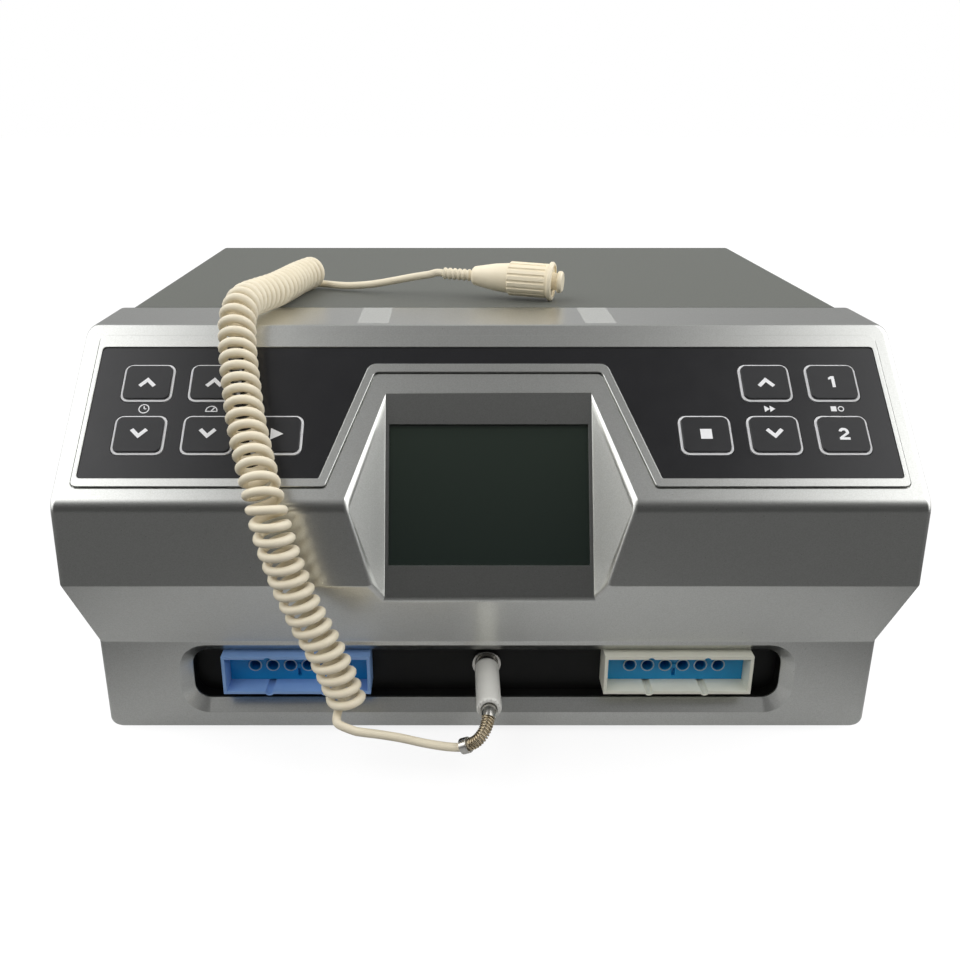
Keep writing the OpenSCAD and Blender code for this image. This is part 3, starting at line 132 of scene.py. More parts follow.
def wire(tree, kind, settings=None, **inputs):
    """A node with its inputs set or linked; in0, in1 and so on are inputs by their number."""
    made = tree.nodes.new(kind)
    for name, value in (settings or {}).items():
        setattr(made, name, value)
    for name, value in inputs.items():
        numbered = name[:2] == "in" and name[2:].isdigit()
        socket = made.inputs[int(name[2:]) if numbered else name.replace("_", " ")]
        if isinstance(value, bpy.types.NodeSocket):
            tree.links.new(value, socket)
        else:
            socket.default_value = value
    return made


def joined(tree, operation, a, b):
    return wire(tree, "ShaderNodeMath", {"operation": operation}, in0=a, in1=b).outputs[0]


def by_rule(name, base, material, plan, **sizes):
    """A plain mesh made by a node tree. plan links its nodes and sizes are its named inputs."""
    tree = bpy.data.node_groups.new(name, "GeometryNodeTree")
    add = lambda label, side, kind: tree.interface.new_socket(
        label, in_out=side, socket_type="NodeSocket" + kind)
    add("Geometry", "INPUT", "Geometry")
    add("Geometry", "OUTPUT", "Geometry")
    keys = {label: add(label, "INPUT", "Int" if isinstance(size, int) else "Float").identifier
            for label, size in sizes.items()}
    shape = plan(tree, tree.nodes.new("NodeGroupInput").outputs)
    whole = wire(tree, "GeometryNodeRealizeInstances", in0=shape).outputs[0]
    skin = wire(tree, "GeometryNodeSetMaterial", Geometry=whole, Material=material).outputs[0]
    tree.links.new(skin, tree.nodes.new("NodeGroupOutput").inputs[0])
    piece = bpy.data.objects.new(name, base)
    bpy.context.scene.collection.objects.link(piece)
    rule = piece.modifiers.new("rule", "NODES")
    rule.node_group = tree
    for label, size in sizes.items():
        rule[keys[label]] = size
    made = bpy.data.meshes.new_from_object(piece.evaluated_get(bpy.context.evaluated_depsgraph_get()))
    piece.modifiers.clear()
    piece.data = made
    return piece


def swept(name, line, material, **sizes):
    """A round wire along the line. Its named inputs are Radius and Sides."""
    path = bpy.data.meshes.new(name)
    path.from_pydata([tuple(p) for p in line], [(i, i + 1) for i in range(len(line) - 1)], [])

    def plan(tree, given):
        curve = wire(tree, "GeometryNodeMeshToCurve", Mesh=given["Geometry"]).outputs[0]
        ring = wire(tree, "GeometryNodeCurvePrimitiveCircle", Resolution=given["Sides"],
                    Radius=given["Radius"]).outputs[0]
        tube = wire(tree, "GeometryNodeCurveToMesh", Curve=curve, Profile_Curve=ring,
                    Fill_Caps=True).outputs[0]
        return wire(tree, "GeometryNodeSetShadeSmooth", in0=tube).outputs[0]

    return by_rule(name, path, material, plan, **sizes)


def srgb(r, g, b):
    """A colour written as 0 to 255, as it looks."""
    return tuple((c / 255 / 12.92 if c < 11 else ((c / 255 + .055) / 1.055) ** 2.4)
                 for c in (r, g, b)) + (1,)


class Socket:
    """One output of a shader node. Arithmetic on it adds Math nodes."""

    def __init__(self, finish, out):
        self.finish, self.out = finish, out

    def math(self, operation, a, b):
        return self.finish.node("ShaderNodeMath", {"operation": operation}, {0: a, 1: b})

    def __add__(self, other): return self.math("ADD", self, other)
    def __radd__(self, other): return self.math("ADD", other, self)
    def __sub__(self, other): return self.math("SUBTRACT", self, other)
    def __rsub__(self, other): return self.math("SUBTRACT", other, self)
    def __mul__(self, other): return self.math("MULTIPLY", self, other)
    def __rmul__(self, other): return self.math("MULTIPLY", other, self)
    def __gt__(self, other): return self.math("GREATER_THAN", self, other)
    def __lt__(self, other): return self.math("LESS_THAN", self, other)


class Finish:
    """A material while it is made up, from one Principled shader and what varies over it."""

    def __init__(self, name, **constants):
        self.material = bpy.data.materials.new(name)
        self.material.use_nodes = True
        self.tree = self.material.node_tree
        self.shader = self.tree.nodes["Principled BSDF"]
        for socket, value in constants.items():
            self.shader.inputs[socket.replace("_", " ")].default_value = value
        self.place = self.node("ShaderNodeTexCoord", output="Object")

    def node(self, kind, settings=None, inputs=None, output=0):
        made = self.tree.nodes.new(kind)
        for name, value in (settings or {}).items():
            setattr(made, name, value)
        for name, value in (inputs or {}).items():
            self.feed(made.inputs[name], value)
        return Socket(self, made.outputs[output])

    def feed(self, socket, value):
        if isinstance(value, Socket):
            self.tree.links.new(value.out, socket)
        else:
            socket.default_value = value

    def grain(self, size, detail=2.0):
        """Cloudy noise from 0 to 1 with spots of that size in metres."""
        return self.node("ShaderNodeTexNoise", {}, {"Vector": self.place, "Scale": 1 / size,
                                                    "Detail": detail})

    def mix(self, share, low, high):
        return self.node("ShaderNodeMix", {"data_type": "RGBA"}, {0: share, 6: low, 7: high}, output=2)

    def bumps(self, height, depth):
        return self.node("ShaderNodeBump", {}, {"Height": height, "Distance": depth, "Strength": 1.0})

    def done(self, **varying):
        for socket, value in varying.items():
            self.feed(self.shader.inputs[socket.replace("_", " ")], value)
        return self.material


def coat(piece, *materials):
    piece.data.materials.clear()
    for m in materials:
        piece.data.materials.append(m)
    return piece


vinyl = Finish("ivory_vinyl", Specular_IOR_Level=0.45)
soil = vinyl.grain(0.02, 4)
ivory_vinyl = vinyl.done(
    Base_Color=vinyl.mix(soil, srgb(240, 231, 208), srgb(228, 216, 190)),
    Roughness=0.36 + 0.12 * vinyl.grain(0.004),
    Normal=vinyl.bumps(vinyl.grain(0.0007, 3), 0.00002))

bezier = lambda u: sum(c * p for c, p in zip(
    ((1 - u)**3, 3 * u * (1 - u)**2, 3 * u * u * (1 - u), u**3), SPRING_BEND))
spring_line = np.array([bezier(u) for u in np.linspace(0, 1, 41)])
spring_out = unit(SPRING_BEND[3] - SPRING_BEND[2])
ferrule_end = SPRING_BEND[3] + FERRULE_L * spring_out
coil_middle = eased(COIL_ROUTE, 8)
coil_s = lengths_along(coil_middle)
close_from = coil_s[8 * 13]
curls = np.arange(1 / 8, OPEN_CURLS + CLOSE_CURLS + 3 / 8 + 1e-6, 1 / 24)
places = np.where(curls < OPEN_CURLS, close_from * curls / OPEN_CURLS,
                  close_from + (coil_s[-1] - close_from) * (curls - OPEN_CURLS) / (CLOSE_CURLS + .5))
coil_line = wound(coil_middle, places, radians(135) + 2 * np.pi * curls, COIL_R, (0, -1, 1))
lead_in = unit(coil_line[0] - coil_line[1])
tail_out = unit((coil_line[-1] - coil_line[-2]) * (1, 1, 0))
lead_line = eased([*spring_line[::4], ferrule_end, ferrule_end + .002 * spring_out, *LEAD_ROUTE,
                   coil_line[0] + 2 * CORD_D * lead_in, coil_line[0] + CORD_D * lead_in], 6)
tail_line = eased([coil_line[-1] + CORD_D * tail_out, coil_line[-1] + 2 * CORD_D * tail_out,
                   *TAIL_ROUTE, HAND_START - CORD_D * HAND_AXIS, HAND_START], 8)
cord_line = np.concatenate([lead_line, coil_line, tail_line])
BEND_BEFORE, BEND_AFTER, EASINGS = 22, 5, 60
bend = slice(len(lead_line) - BEND_BEFORE, len(lead_line) + BEND_AFTER)
for _ in range(EASINGS):
    cord_line[bend] += 0.5 * ((cord_line[bend.start - 1:bend.stop - 1]
                               + cord_line[bend.start + 1:bend.stop + 1]) / 2 - cord_line[bend])
hand_cord = swept("hand_cord", cord_line, ivory_vinyl, Radius=CORD_D / 2, Sides=14)
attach(hand_cord, "housing")
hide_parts("cord_lead", "cord_coil", "cord_tail")


# ---- Plug of the hand switch ----
# Quarter inch plug with a nickelled brass shank, a white screw-on sleeve, a steel wire spring
# that keeps the cord from kinking, and a nickelled ferrule crimped on the cord.
def softened(node, width, angle=28, segments=2, name=None, keep=True, wide=None):
    """A copy of the node whose loose triangles are joined and whose edges are rounded.

    wide gives a larger rounding, or 0, for the edges that have one of their own."""
    source = nodes[node]
    mesh = source.data.copy()
    bm = bmesh.new()
    bm.from_mesh(mesh)
    bmesh.ops.remove_doubles(bm, verts=bm.verts, dist=2e-6)
    bmesh.ops.dissolve_limit(bm, angle_limit=radians(0.5), verts=bm.verts, edges=bm.edges)
    if wide:
        own = {edge: wide(edge) for edge in bm.edges if len(edge.link_faces) == 2}
        for size in sorted({w for w in own.values() if w}, reverse=True):
            bmesh.ops.bevel(bm, geom=[e for e, w in own.items() if w == size and e.is_valid], offset=size,
                            offset_type="WIDTH", segments=5, profile=0.5, affect="EDGES", clamp_overlap=True)
    for face in bm.faces:
        face.smooth = True
    bm.to_mesh(mesh)
    bm.free()
    if "custom_normal" in mesh.attributes:
        mesh.attributes.remove(mesh.attributes["custom_normal"])
    piece = bpy.data.objects.new(name or "soft_" + node, mesh)
    bpy.context.scene.collection.objects.link(piece)
    if width:
        bevel = piece.modifiers.new("edges", "BEVEL")
        bevel.width, bevel.segments, bevel.limit_method = width, segments, "ANGLE"
        bevel.angle_limit, bevel.use_clamp_overlap = radians(angle), True
    settle(piece)
    if keep:
        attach(piece, source["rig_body"])
        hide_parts(node)
    return piece


def settle(piece):
    """Applies the piece's modifiers, then smooths it with its broad faces kept flat."""
    piece.modifiers.new("flats", "WEIGHTED_NORMAL").keep_sharp = True
    whole = bpy.context.evaluated_depsgraph_get()
    bpy.context.view_layer.update()
    made = bpy.data.meshes.new_from_object(piece.evaluated_get(whole))
    piece.modifiers.clear()
    piece.data = made
    return piece


nickel = Finish("nickel_plate", Metallic=1.0)
nickel_plate = nickel.done(
    Base_Color=nickel.mix(nickel.grain(0.003, 3), srgb(226, 224, 218), srgb(205, 203, 198)),
    Roughness=0.16 + 0.14 * nickel.grain(0.0012, 4))
white = Finish("white_sleeve", Specular_IOR_Level=0.5)
white_sleeve = white.done(
    Base_Color=white.mix(white.grain(0.01, 3), srgb(220, 219, 213), srgb(208, 207, 201)),
    Roughness=0.3 + 0.1 * white.grain(0.002),
    Normal=white.bumps(white.grain(0.0005), 0.00001))
plug_sleeve = coat(softened("plug_sleeve", 0.0005), white_sleeve)
plug_shank = coat(softened("plug_shank", 0.0002), nickel_plate)
plug_ferrule = coat(softened("plug_ferrule", 0.0003), nickel_plate)
SPRING_WIRE, SPRING_D, SPRING_CURLS, CAP_D, CAP_L = 0.001, 0.0062, 13, 0.0073, 0.0085
spring_s = lengths_along(spring_line)[-1]
capped = spring_line[lengths_along(spring_line) < CAP_L]
turns = np.arange(0, SPRING_CURLS + 1e-6, 1 / 16)
steel = Finish("spring_steel", Metallic=1.0)
spring_steel = steel.done(
    Base_Color=steel.mix(steel.grain(0.002, 3), srgb(214, 199, 170), srgb(190, 174, 146)),
    Roughness=0.2 + 0.15 * steel.grain(0.001, 3))
plug_spring = swept("plug_spring_wire", wound(
    spring_line, CAP_L + (spring_s - SPRING_WIRE / 2 - CAP_L) * turns / SPRING_CURLS,
    2 * np.pi * turns, (SPRING_D - SPRING_WIRE) / 2, (0.3, 0, 1)), spring_steel,
    Radius=SPRING_WIRE / 2, Sides=8)
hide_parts("plug_spring")
spring_cap = swept("plug_spring_cap", capped, nickel_plate, Radius=CAP_D / 2, Sides=28)
for piece in (plug_spring, spring_cap):
    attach(piece, "housing")


# ---- Front moulding ----
# Large injection moulding in silver paint with fine flakes. It holds keypad, display and bay,
# slides over the base tray and carries a tongue that the cover slips on.
silver = Finish("silver_paint", Metallic=1.0)
flakes = silver.node("ShaderNodeTexVoronoi", {}, {"Vector": silver.place, "Scale": 2600.0}, output="Color")
flake_light = silver.node("ShaderNodeSeparateColor", {}, {0: flakes}, output=0)
FACE_TOP, FOLD, CHIN, FOOT = (-.0975, .198), (-.176, .132), (-.178, .0927), (-.1595, .053)
FACE_TILT = float(np.arctan2(FACE_TOP[1] - FOLD[1], FACE_TOP[0] - FOLD[0]))
across, deep, up = (silver.node("ShaderNodeSeparateXYZ", {}, {0: silver.place}, output=i) for i in range(3))
aside = silver.node("ShaderNodeMath", {"operation": "ABSOLUTE"}, {0: across})
sunk = cos(FACE_TILT) * (up - FACE_TOP[1]) - sin(FACE_TILT) * (deep - FACE_TOP[0])
CHEEK_IN, CHEEK_OUT, CHEEK_SUNK, CHEEK_FRONT, CHEEK_LOW = 0.0497, 0.0655, -0.0025, -0.1745, 0.088
on_cheek = ((aside > CHEEK_IN) * (aside < CHEEK_OUT) * (sunk < CHEEK_SUNK) * (deep > CHEEK_FRONT)
            * (up > CHEEK_LOW))
silver_paint = silver.done(
    Base_Color=silver.mix(flake_light, srgb(216, 217, 213), srgb(228, 229, 226)),
    Roughness=0.26 + 0.06 * silver.grain(0.001) + 0.32 * on_cheek,
    Normal=silver.bumps(silver.grain(0.0009, 2), 0.000012))


RIDGE_ROUND, ROOT_ROUND, ROOT_X = 0.007, 0.002, 0.0495


def ridge_width(edge):
    """The recess has a broad ridge round its cheeks and a softer root along its floor."""
    if not 0.85 < edge.calc_face_angle() < 1.3:
        return 0
    heights = [z for _, z in (FOOT, CHIN, FOLD, FACE_TOP)]
    depths = [y for y, _ in (FOOT, CHIN, FOLD, FACE_TOP)]
    proud = all(0.049 < abs(v.co.x) < 0.067 and v.co.y < np.interp(v.co.z, heights, depths) + 0.0028
                for v in edge.verts)
    if edge.is_convex:
        return RIDGE_ROUND if proud else 0
    return ROOT_ROUND if all(abs(abs(v.co.x) - ROOT_X) < 0.0002 for v in edge.verts) else 0


front = softened("front_bezel", 0.0004, name="front_moulding", keep=False, wide=ridge_width)
coat(front, silver_paint)
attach(front, "housing")
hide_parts("front_bezel")


# ---- Keypad frame and plate ----
# A silver trim moulding set in a groove round a satin black plate. Its notch leaves room for the
# display recess. Small white signs are printed on the plate beside the keys.
ON_FACE = Matrix.Translation((0, *FACE_TOP)) @ Matrix.Rotation(FACE_TILT, 4, "X")
keypad_frame = coat(softened("keypad_frame", 0.0003), silver_paint)
plate = Finish("keypad_black", Specular_IOR_Level=0.5)
keypad_black = plate.done(
    Base_Color=plate.mix(plate.grain(0.05, 3), srgb(22, 22, 24), srgb(32, 32, 34)),
    Roughness=0.2 + 0.1 * plate.grain(0.01, 4),
    Normal=plate.bumps(plate.grain(0.0012), 0.000006))
keypad_plate = coat(softened("keypad_plate", 0.00015), keypad_black)


INK_THICK = 0.00006


def sign(name, outlines, x, t, height, body):
    """Flat white shapes in millimetres, printed on the sloping face at x and t below its top."""
    bm = bmesh.new()
    for outline in outlines:
        face = bm.faces.new([bm.verts.new((px / 1000, py / 1000, 0)) for px, py in outline])
        if face.normal.z < 0:
            face.normal_flip()
        bmesh.ops.triangulate(bm, faces=[face])
    bm.normal_update()
    raised = bmesh.ops.extrude_face_region(bm, geom=bm.faces[:])["geom"]
    bmesh.ops.translate(bm, verts=[v for v in raised if isinstance(v, bmesh.types.BMVert)],
                        vec=(0, 0, INK_THICK))
    bmesh.ops.recalc_face_normals(bm, faces=bm.faces)
    bmesh.ops.transform(bm, matrix=ON_FACE @ Matrix.Translation((x / 1000, -t / 1000, height / 1000)),
                        verts=bm.verts)
    mesh = bpy.data.meshes.new(name)
    bm.to_mesh(mesh)
    bm.free()
    piece = coat(bpy.data.objects.new(name, mesh), white_ink)
    bpy.context.scene.collection.objects.link(piece)
    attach(piece, body)
    return piece


ink = Finish("white_ink", Specular_IOR_Level=0.4)
white_ink = ink.done(
    Base_Color=ink.mix(ink.grain(0.002, 3), srgb(236, 236, 236), srgb(222, 222, 224)), Roughness=0.5)


def arc(r_in, r_out, a0, a1, cx=0, cy=0, steps=24):
    """A band of a ring as quads, so that a whole ring has no seam to fill."""
    angles = np.radians(np.linspace(a0, a1, steps + 1))
    ring = [(np.cos(a), np.sin(a)) for a in angles]
    return [[(cx + r_in * p[0], cy + r_in * p[1]), (cx + r_out * p[0], cy + r_out * p[1]),
             (cx + r_out * q[0], cy + r_out * q[1]), (cx + r_in * q[0], cy + r_in * q[1])]
            for p, q in zip(ring, ring[1:])]


def bar(x0, y0, x1, y1, w):
    d = unit(np.array((x1 - x0, y1 - y0), float)) * w / 2
    return [(x0 - d[1], y0 + d[0]), (x0 + d[1], y0 - d[0]), (x1 + d[1], y1 - d[0]), (x1 - d[1], y1 + d[0])]


PRINT_H = 0.4
LABEL_T = 50.4
sign("sign_time", arc(2.1, 2.6, 0, 360) + [bar(0, 0, 0, 1.5, .5), bar(0, 0, 1.1, 0, .5)],
     -164.2, LABEL_T, PRINT_H, "housing")
sign("sign_pressure", arc(2.4, 2.9, 0, 180, 0, -1.2)
     + [bar(0, -1.2, 1.3, .6, .6), bar(-2.9, -1.45, 2.9, -1.45, .5)],
     -132, LABEL_T, PRINT_H, "housing")
sign("sign_speed", [[(-2.4, -1.8), (.2, 0), (-2.4, 1.8)], [(.2, -1.8), (2.8, 0), (.2, 1.8)]],
     133.5, LABEL_T, PRINT_H, "housing")
sign("sign_mode", [[(-3, -1.4), (-.4, -1.4), (-.4, 1.4), (-3, 1.4)]] + arc(1.0, 1.5, 0, 360, 1.8, 0),
     165.7, LABEL_T, PRINT_H, "housing")


# ---- Keys ----
# Black silicone-coated keys with a pale printed border and a white sign. Each is guided by its
# window and presses its own switch on the board behind.
key_skin = Finish("key_black", Specular_IOR_Level=0.5)
key_black = key_skin.done(
    Base_Color=key_skin.mix(key_skin.grain(0.006, 3), srgb(24, 24, 26), srgb(34, 34, 36)),
    Roughness=0.32 + 0.12 * key_skin.grain(0.002),
    Normal=key_skin.bumps(key_skin.grain(0.0005), 0.00001))
border = Finish("key_border", Specular_IOR_Level=0.4)
key_border = border.done(
    Base_Color=border.mix(border.grain(0.003, 3), srgb(226, 226, 226), srgb(210, 210, 212)),
    Roughness=0.42)
KEY_TOP, BORDER_TOP = 1.9, 0.7
PITCH, LEFT, RIGHT, UPPER, LOWER = 32.2, -99.8, 101.3, 35.8, 65.3
KEYS = {"time_up": (LEFT - 2 * PITCH, UPPER, "up"), "pressure_up": (LEFT - PITCH, UPPER, "up"),
        "speed_up": (RIGHT + PITCH, UPPER, "up"), "mode_1": (RIGHT + 2 * PITCH, UPPER, "1"),
        "time_down": (LEFT - 2 * PITCH, LOWER, "down"), "pressure_down": (LEFT - PITCH, LOWER, "down"),
        "start": (LEFT, LOWER, "start"), "stop": (RIGHT, LOWER, "stop"),
        "speed_down": (RIGHT + PITCH, LOWER, "down"), "mode_2": (RIGHT + 2 * PITCH, LOWER, "2")}
SIGNS = {"up": [[(-4.2, -1.9), (-2.8, -3.1), (0, -.2), (0, 2.4)],
                [(0, 2.4), (0, -.2), (2.8, -3.1), (4.2, -1.9)]],
         "down": [[(-4.2, 1.9), (0, -2.4), (0, .2), (-2.8, 3.1)],
                  [(0, -2.4), (4.2, 1.9), (2.8, 3.1), (0, .2)]],
         "start": [[(-2.6, -3.2), (3.4, 0), (-2.6, 3.2)]],
         "stop": [[(-2.7, -2.7), (2.7, -2.7), (2.7, 2.7), (-2.7, 2.7)]],
         "1": [bar(.3, -3.2, .3, 3.2, 1.5), [(-1.9, 1.2), (-1.9, 2.2), (-.45, 3.2), (-.45, 1.6)]],
         "2": arc(1.0, 2.4, -20, 165, 0, .9) + [[(-2.4, -3.2), (2.5, -3.2), (2.5, -1.9), (-2.4, -1.9)],
              [(-2.4, -1.9), (-.6, -1.9), (2.25, .1), (.94, .56)]]}
for key, (x, t, shape) in KEYS.items():
    piece = softened("key_" + key, 0.0003)
    coat(piece, key_black, key_border)
    to_face = ON_FACE.inverted()
    for face in piece.data.polygons:
        heights = [(to_face @ piece.data.vertices[v].co).z * 1000 for v in face.vertices]
        face.material_index = int(-2 < min(heights) and max(heights) < BORDER_TOP + .02)
    sign("sign_" + key, SIGNS[shape], x, t, KEY_TOP, "key_" + key + "_body")


# ---- Display ----
# Dark display glass bonded behind its opening in the sunken floor, over the display module.
glass = Finish("display_glass", Specular_IOR_Level=0.6)
# Painted light: the glass colour is darker toward its lower edge and lighter higher up, graded by height.
row = glass.node("ShaderNodeSeparateXYZ", {}, {0: glass.place}, output=2)
display_glass = glass.done(
    Base_Color=glass.mix((row - 0.095) * 18, srgb(34, 42, 38), srgb(44, 52, 46)),
    Roughness=0.12 + 0.06 * glass.grain(0.03, 3))
coat(softened("lcd_glass", 0.0002), display_glass)


# ---- Connector bay ----
# Black plastic walls behind the opening and a plate that carries two six-way air sockets.
# The shrouds are coloured so that each sleeve set goes to its own side.
dark = Finish("black_plastic", Specular_IOR_Level=0.3)
black_plastic = dark.done(
    Base_Color=dark.mix(dark.grain(0.01, 3), srgb(13, 13, 13), srgb(20, 20, 19)),
    Roughness=0.4 + 0.15 * dark.grain(0.004),
    Normal=dark.bumps(dark.grain(0.0008), 0.00001))
for node in ("bay_surround", "socket_plate"):
    coat(softened(node, 0.0004), black_plastic)


def moulded(name, low, high, roughness=0.32):
    """Dyed plastic with a slight cloud in its colour and a fine spark-eroded skin."""
    f = Finish(name, Specular_IOR_Level=0.5)
    return f.done(Base_Color=f.mix(f.grain(0.008, 3), srgb(*low), srgb(*high)),
                  Roughness=roughness + 0.1 * f.grain(0.003),
                  Normal=f.bumps(f.grain(0.0006), 0.000008))


blue_violet = moulded("blue_violet_plastic", (142, 178, 228), (126, 164, 218))
pale_grey = moulded("pale_grey_plastic", (232, 231, 216), (218, 218, 204))
port_blue = moulded("port_blue_plastic", (34, 164, 224), (22, 146, 210))
for side, skin, slot in (("left", blue_violet, "blue_shroud"), ("right", pale_grey, "grey_shroud")):
    coat(softened("socket_shroud_" + side, 0.0003), skin)
    coat(softened("port_block_" + side, 0.00015), port_blue)
coat(softened("jack_nut", 0.0004), nickel_plate)
# The rims are real beads round the port mouths; their pale colour is a painted highlight.
rim_highlight_paint = moulded("port_rim_painted_highlight", (196, 214, 224), (176, 198, 212))


def rim_rows(tree, given):
    """Rims on a row of ports, once for each socket."""
    row = wire(tree, "GeometryNodeMeshLine", Count=given["Ports"],
               Offset=wire(tree, "ShaderNodeCombineXYZ", X=given["Pitch"]).outputs[0]).outputs[0]
    ring = wire(tree, "GeometryNodeCurvePrimitiveCircle", Resolution=28, Radius=given["Radius"]).outputs[0]
    bead = wire(tree, "GeometryNodeCurvePrimitiveCircle", Resolution=8, Radius=given["Bead"]).outputs[0]
    rim = wire(tree, "GeometryNodeCurveToMesh", Curve=ring, Profile_Curve=bead).outputs[0]
    rims = wire(tree, "GeometryNodeInstanceOnPoints", Points=row, Instance=rim,
                Rotation=(radians(90), 0, 0)).outputs[0]
    middle = joined(tree, "MULTIPLY", given["Pitch"], joined(tree, "MULTIPLY", joined(
        tree, "SUBTRACT", given["Ports"], 1.0), -0.5))
    both = tree.nodes.new("GeometryNodeJoinGeometry")
    for side in (1.0, -1.0):
        x = joined(tree, "ADD", middle, joined(tree, "MULTIPLY", given["Socket X"], side))
        spot = wire(tree, "ShaderNodeCombineXYZ", X=x, Y=given["Front"], Z=given["Height"]).outputs[0]
        placed = wire(tree, "GeometryNodeTransform", Geometry=rims, Translation=spot).outputs[0]
        tree.links.new(placed, both.inputs[0])
    return wire(tree, "GeometryNodeSetShadeSmooth", in0=both.outputs[0]).outputs[0]


port_rims = by_rule("port_rims", bpy.data.meshes.new("port_rims"), rim_highlight_paint, rim_rows, **{
    "Ports": 6, "Pitch": 0.009, "Radius": 0.00315, "Bead": 0.00033, "Socket X": 0.0955, "Front": -0.1502,
    "Height": 0.0339})
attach(port_rims, "housing")


# ---- Hand switch ----
# Ivory push-button in a tapered body with a fluted collar. A ribbed boot grips the cord.
hard_ivory = moulded("ivory_moulding", (250, 239, 213), (244, 231, 203), 0.28)
for node in ("handset_body", "handset_collar", "handset_button"):
    coat(softened(node, 0.0003), hard_ivory)
coat(softened("handset_relief", 0.0002), ivory_vinyl)


# ---- Cover and rear ----
# Steel sheet bent over the top and both sides in a fine grey powder coat, held by six screws.
powder = Finish("grey_powder", Specular_IOR_Level=0.35)
grey_powder = powder.done(
    Base_Color=powder.mix(powder.grain(0.002, 3), srgb(100, 102, 97), srgb(92, 94, 89)),
    Roughness=0.5 + 0.12 * powder.grain(0.001),
    Normal=powder.bumps(powder.grain(0.0006, 2), 0.00003))
coat(softened("top_cover", 0.0002), grey_powder)
coat(softened("rear_panel", 0.0002), grey_powder)

QUARTER_TURN = 1.5707


def screw_rows(tree, given):
    """Pan heads with a cross recess, three on each side of the cover, each turned as it was left."""
    shaft = wire(tree, "GeometryNodeMeshCylinder", Vertices=32, Radius=given["Shaft Radius"],
                 Depth=given["Shaft"])
    solid, top = shaft.outputs["Mesh"], shaft.outputs["Top"]
    for rise, width in (("Flange", 1.0), ("Edge", 1.0), ("Shoulder", 0.88), ("Dome", 0.72)):
        step = wire(tree, "GeometryNodeExtrudeMesh", Mesh=solid, Selection=top, Offset_Scale=given[rise],
                    Individual=False)
        if rise == "Flange":
            width = joined(tree, "DIVIDE", given["Head Radius"], given["Shaft Radius"])
        solid = wire(tree, "GeometryNodeScaleElements", Geometry=step.outputs[0],
                     Selection=step.outputs["Top"], Scale=width).outputs[0]
        top = step.outputs["Top"]
    depth = joined(tree, "MULTIPLY", given["Recess"], 2.0)
    head_top = joined(tree, "ADD", joined(tree, "MULTIPLY", given["Shaft"], 0.5), joined(tree, "ADD", joined(
        tree, "ADD", given["Edge"], given["Shoulder"]), given["Dome"]))
    cut = tree.nodes.new("GeometryNodeMeshBoolean")
    cut.operation, cut.solver = "DIFFERENCE", "EXACT"
    tree.links.new(solid, cut.inputs["Mesh 1"])
    for x, y in (("Wing", "Wing Width"), ("Wing Width", "Wing")):
        size = wire(tree, "ShaderNodeCombineXYZ", X=given[x], Y=given[y], Z=depth).outputs[0]
        block = wire(tree, "GeometryNodeMeshCube", Size=size).outputs[0]
        block = wire(tree, "GeometryNodeTransform", Geometry=block, Translation=wire(
            tree, "ShaderNodeCombineXYZ", Z=head_top).outputs[0]).outputs[0]
        tree.links.new(block, cut.inputs["Mesh 2"])
    row = wire(tree, "GeometryNodeMeshLine", Count=3, Offset=wire(
        tree, "ShaderNodeCombineXYZ", Y=given["Pitch"]).outputs[0]).outputs[0]
    spin = wire(tree, "FunctionNodeRandomValue", {"data_type": "FLOAT"}, in3=QUARTER_TURN,
                Seed=given["Seed"]).outputs[1]
    screws = wire(tree, "GeometryNodeInstanceOnPoints", Points=row, Instance=cut.outputs[0],
                  Rotation=(0, radians(90), 0)).outputs[0]
    turned = wire(tree, "GeometryNodeRotateInstances", Instances=screws, Rotation=wire(
        tree, "ShaderNodeCombineXYZ", Z=spin).outputs[0], Local_Space=True).outputs[0]
    rows = tree.nodes.new("GeometryNodeJoinGeometry")
    reach = joined(tree, "SUBTRACT", given["Side"], joined(tree, "MULTIPLY", given["Shaft"], 0.5))
    for turn, x, y in ((0, reach, given["First"]), (180, joined(tree, "MULTIPLY", reach, -1.0), joined(
            tree, "ADD", given["First"], joined(tree, "MULTIPLY", given["Pitch"], 2.0)))):
        spot = wire(tree, "ShaderNodeCombineXYZ", X=x, Y=y, Z=given["Height"]).outputs[0]
        tree.links.new(wire(tree, "GeometryNodeTransform", Geometry=turned, Translation=spot,
                            Rotation=(0, 0, radians(turn))).outputs[0], rows.inputs[0])
    return rows.outputs[0]


screw_base = bpy.data.meshes.new("cover_screw_rows")
cover_screws = by_rule("cover_screw_rows", screw_base, nickel_plate, screw_rows, **{
    "Shaft Radius": 0.002, "Shaft": 0.0035, "Flange": 0.0, "Edge": 0.0007, "Shoulder": 0.0006,
    "Dome": 0.0005, "Head Radius": 0.0038, "Recess": 0.0008, "Wing": 0.0042, "Wing Width": 0.0009,
    "Pitch": 0.08416, "First": -0.02391, "Side": 0.1925, "Height": 0.0142, "Seed": 7})
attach(cover_screws, "housing")
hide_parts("cover_screws")
rubbery = moulded("black_rubber", (26, 26, 26), (34, 34, 33), 0.6)
board_green = moulded("board_green", (30, 92, 62), (24, 78, 52), 0.35)
zinc = Finish("zinc_sheet", Metallic=0.9)
zinc_sheet = zinc.done(
    Base_Color=zinc.mix(zinc.grain(0.02, 4), srgb(176, 178, 180), srgb(150, 154, 158)),
    Roughness=0.34 + 0.18 * zinc.grain(0.004, 3))
cast = Finish("cast_aluminium", Metallic=0.8)
cast_aluminium = cast.done(
    Base_Color=cast.mix(cast.grain(0.004, 4), srgb(178, 180, 182), srgb(156, 158, 160)),
    Roughness=0.45 + 0.15 * cast.grain(0.002), Normal=cast.bumps(cast.grain(0.0008, 3), 0.00004))
vinyl_hose = moulded("vinyl_hose", (205, 210, 212), (188, 194, 198), 0.3)
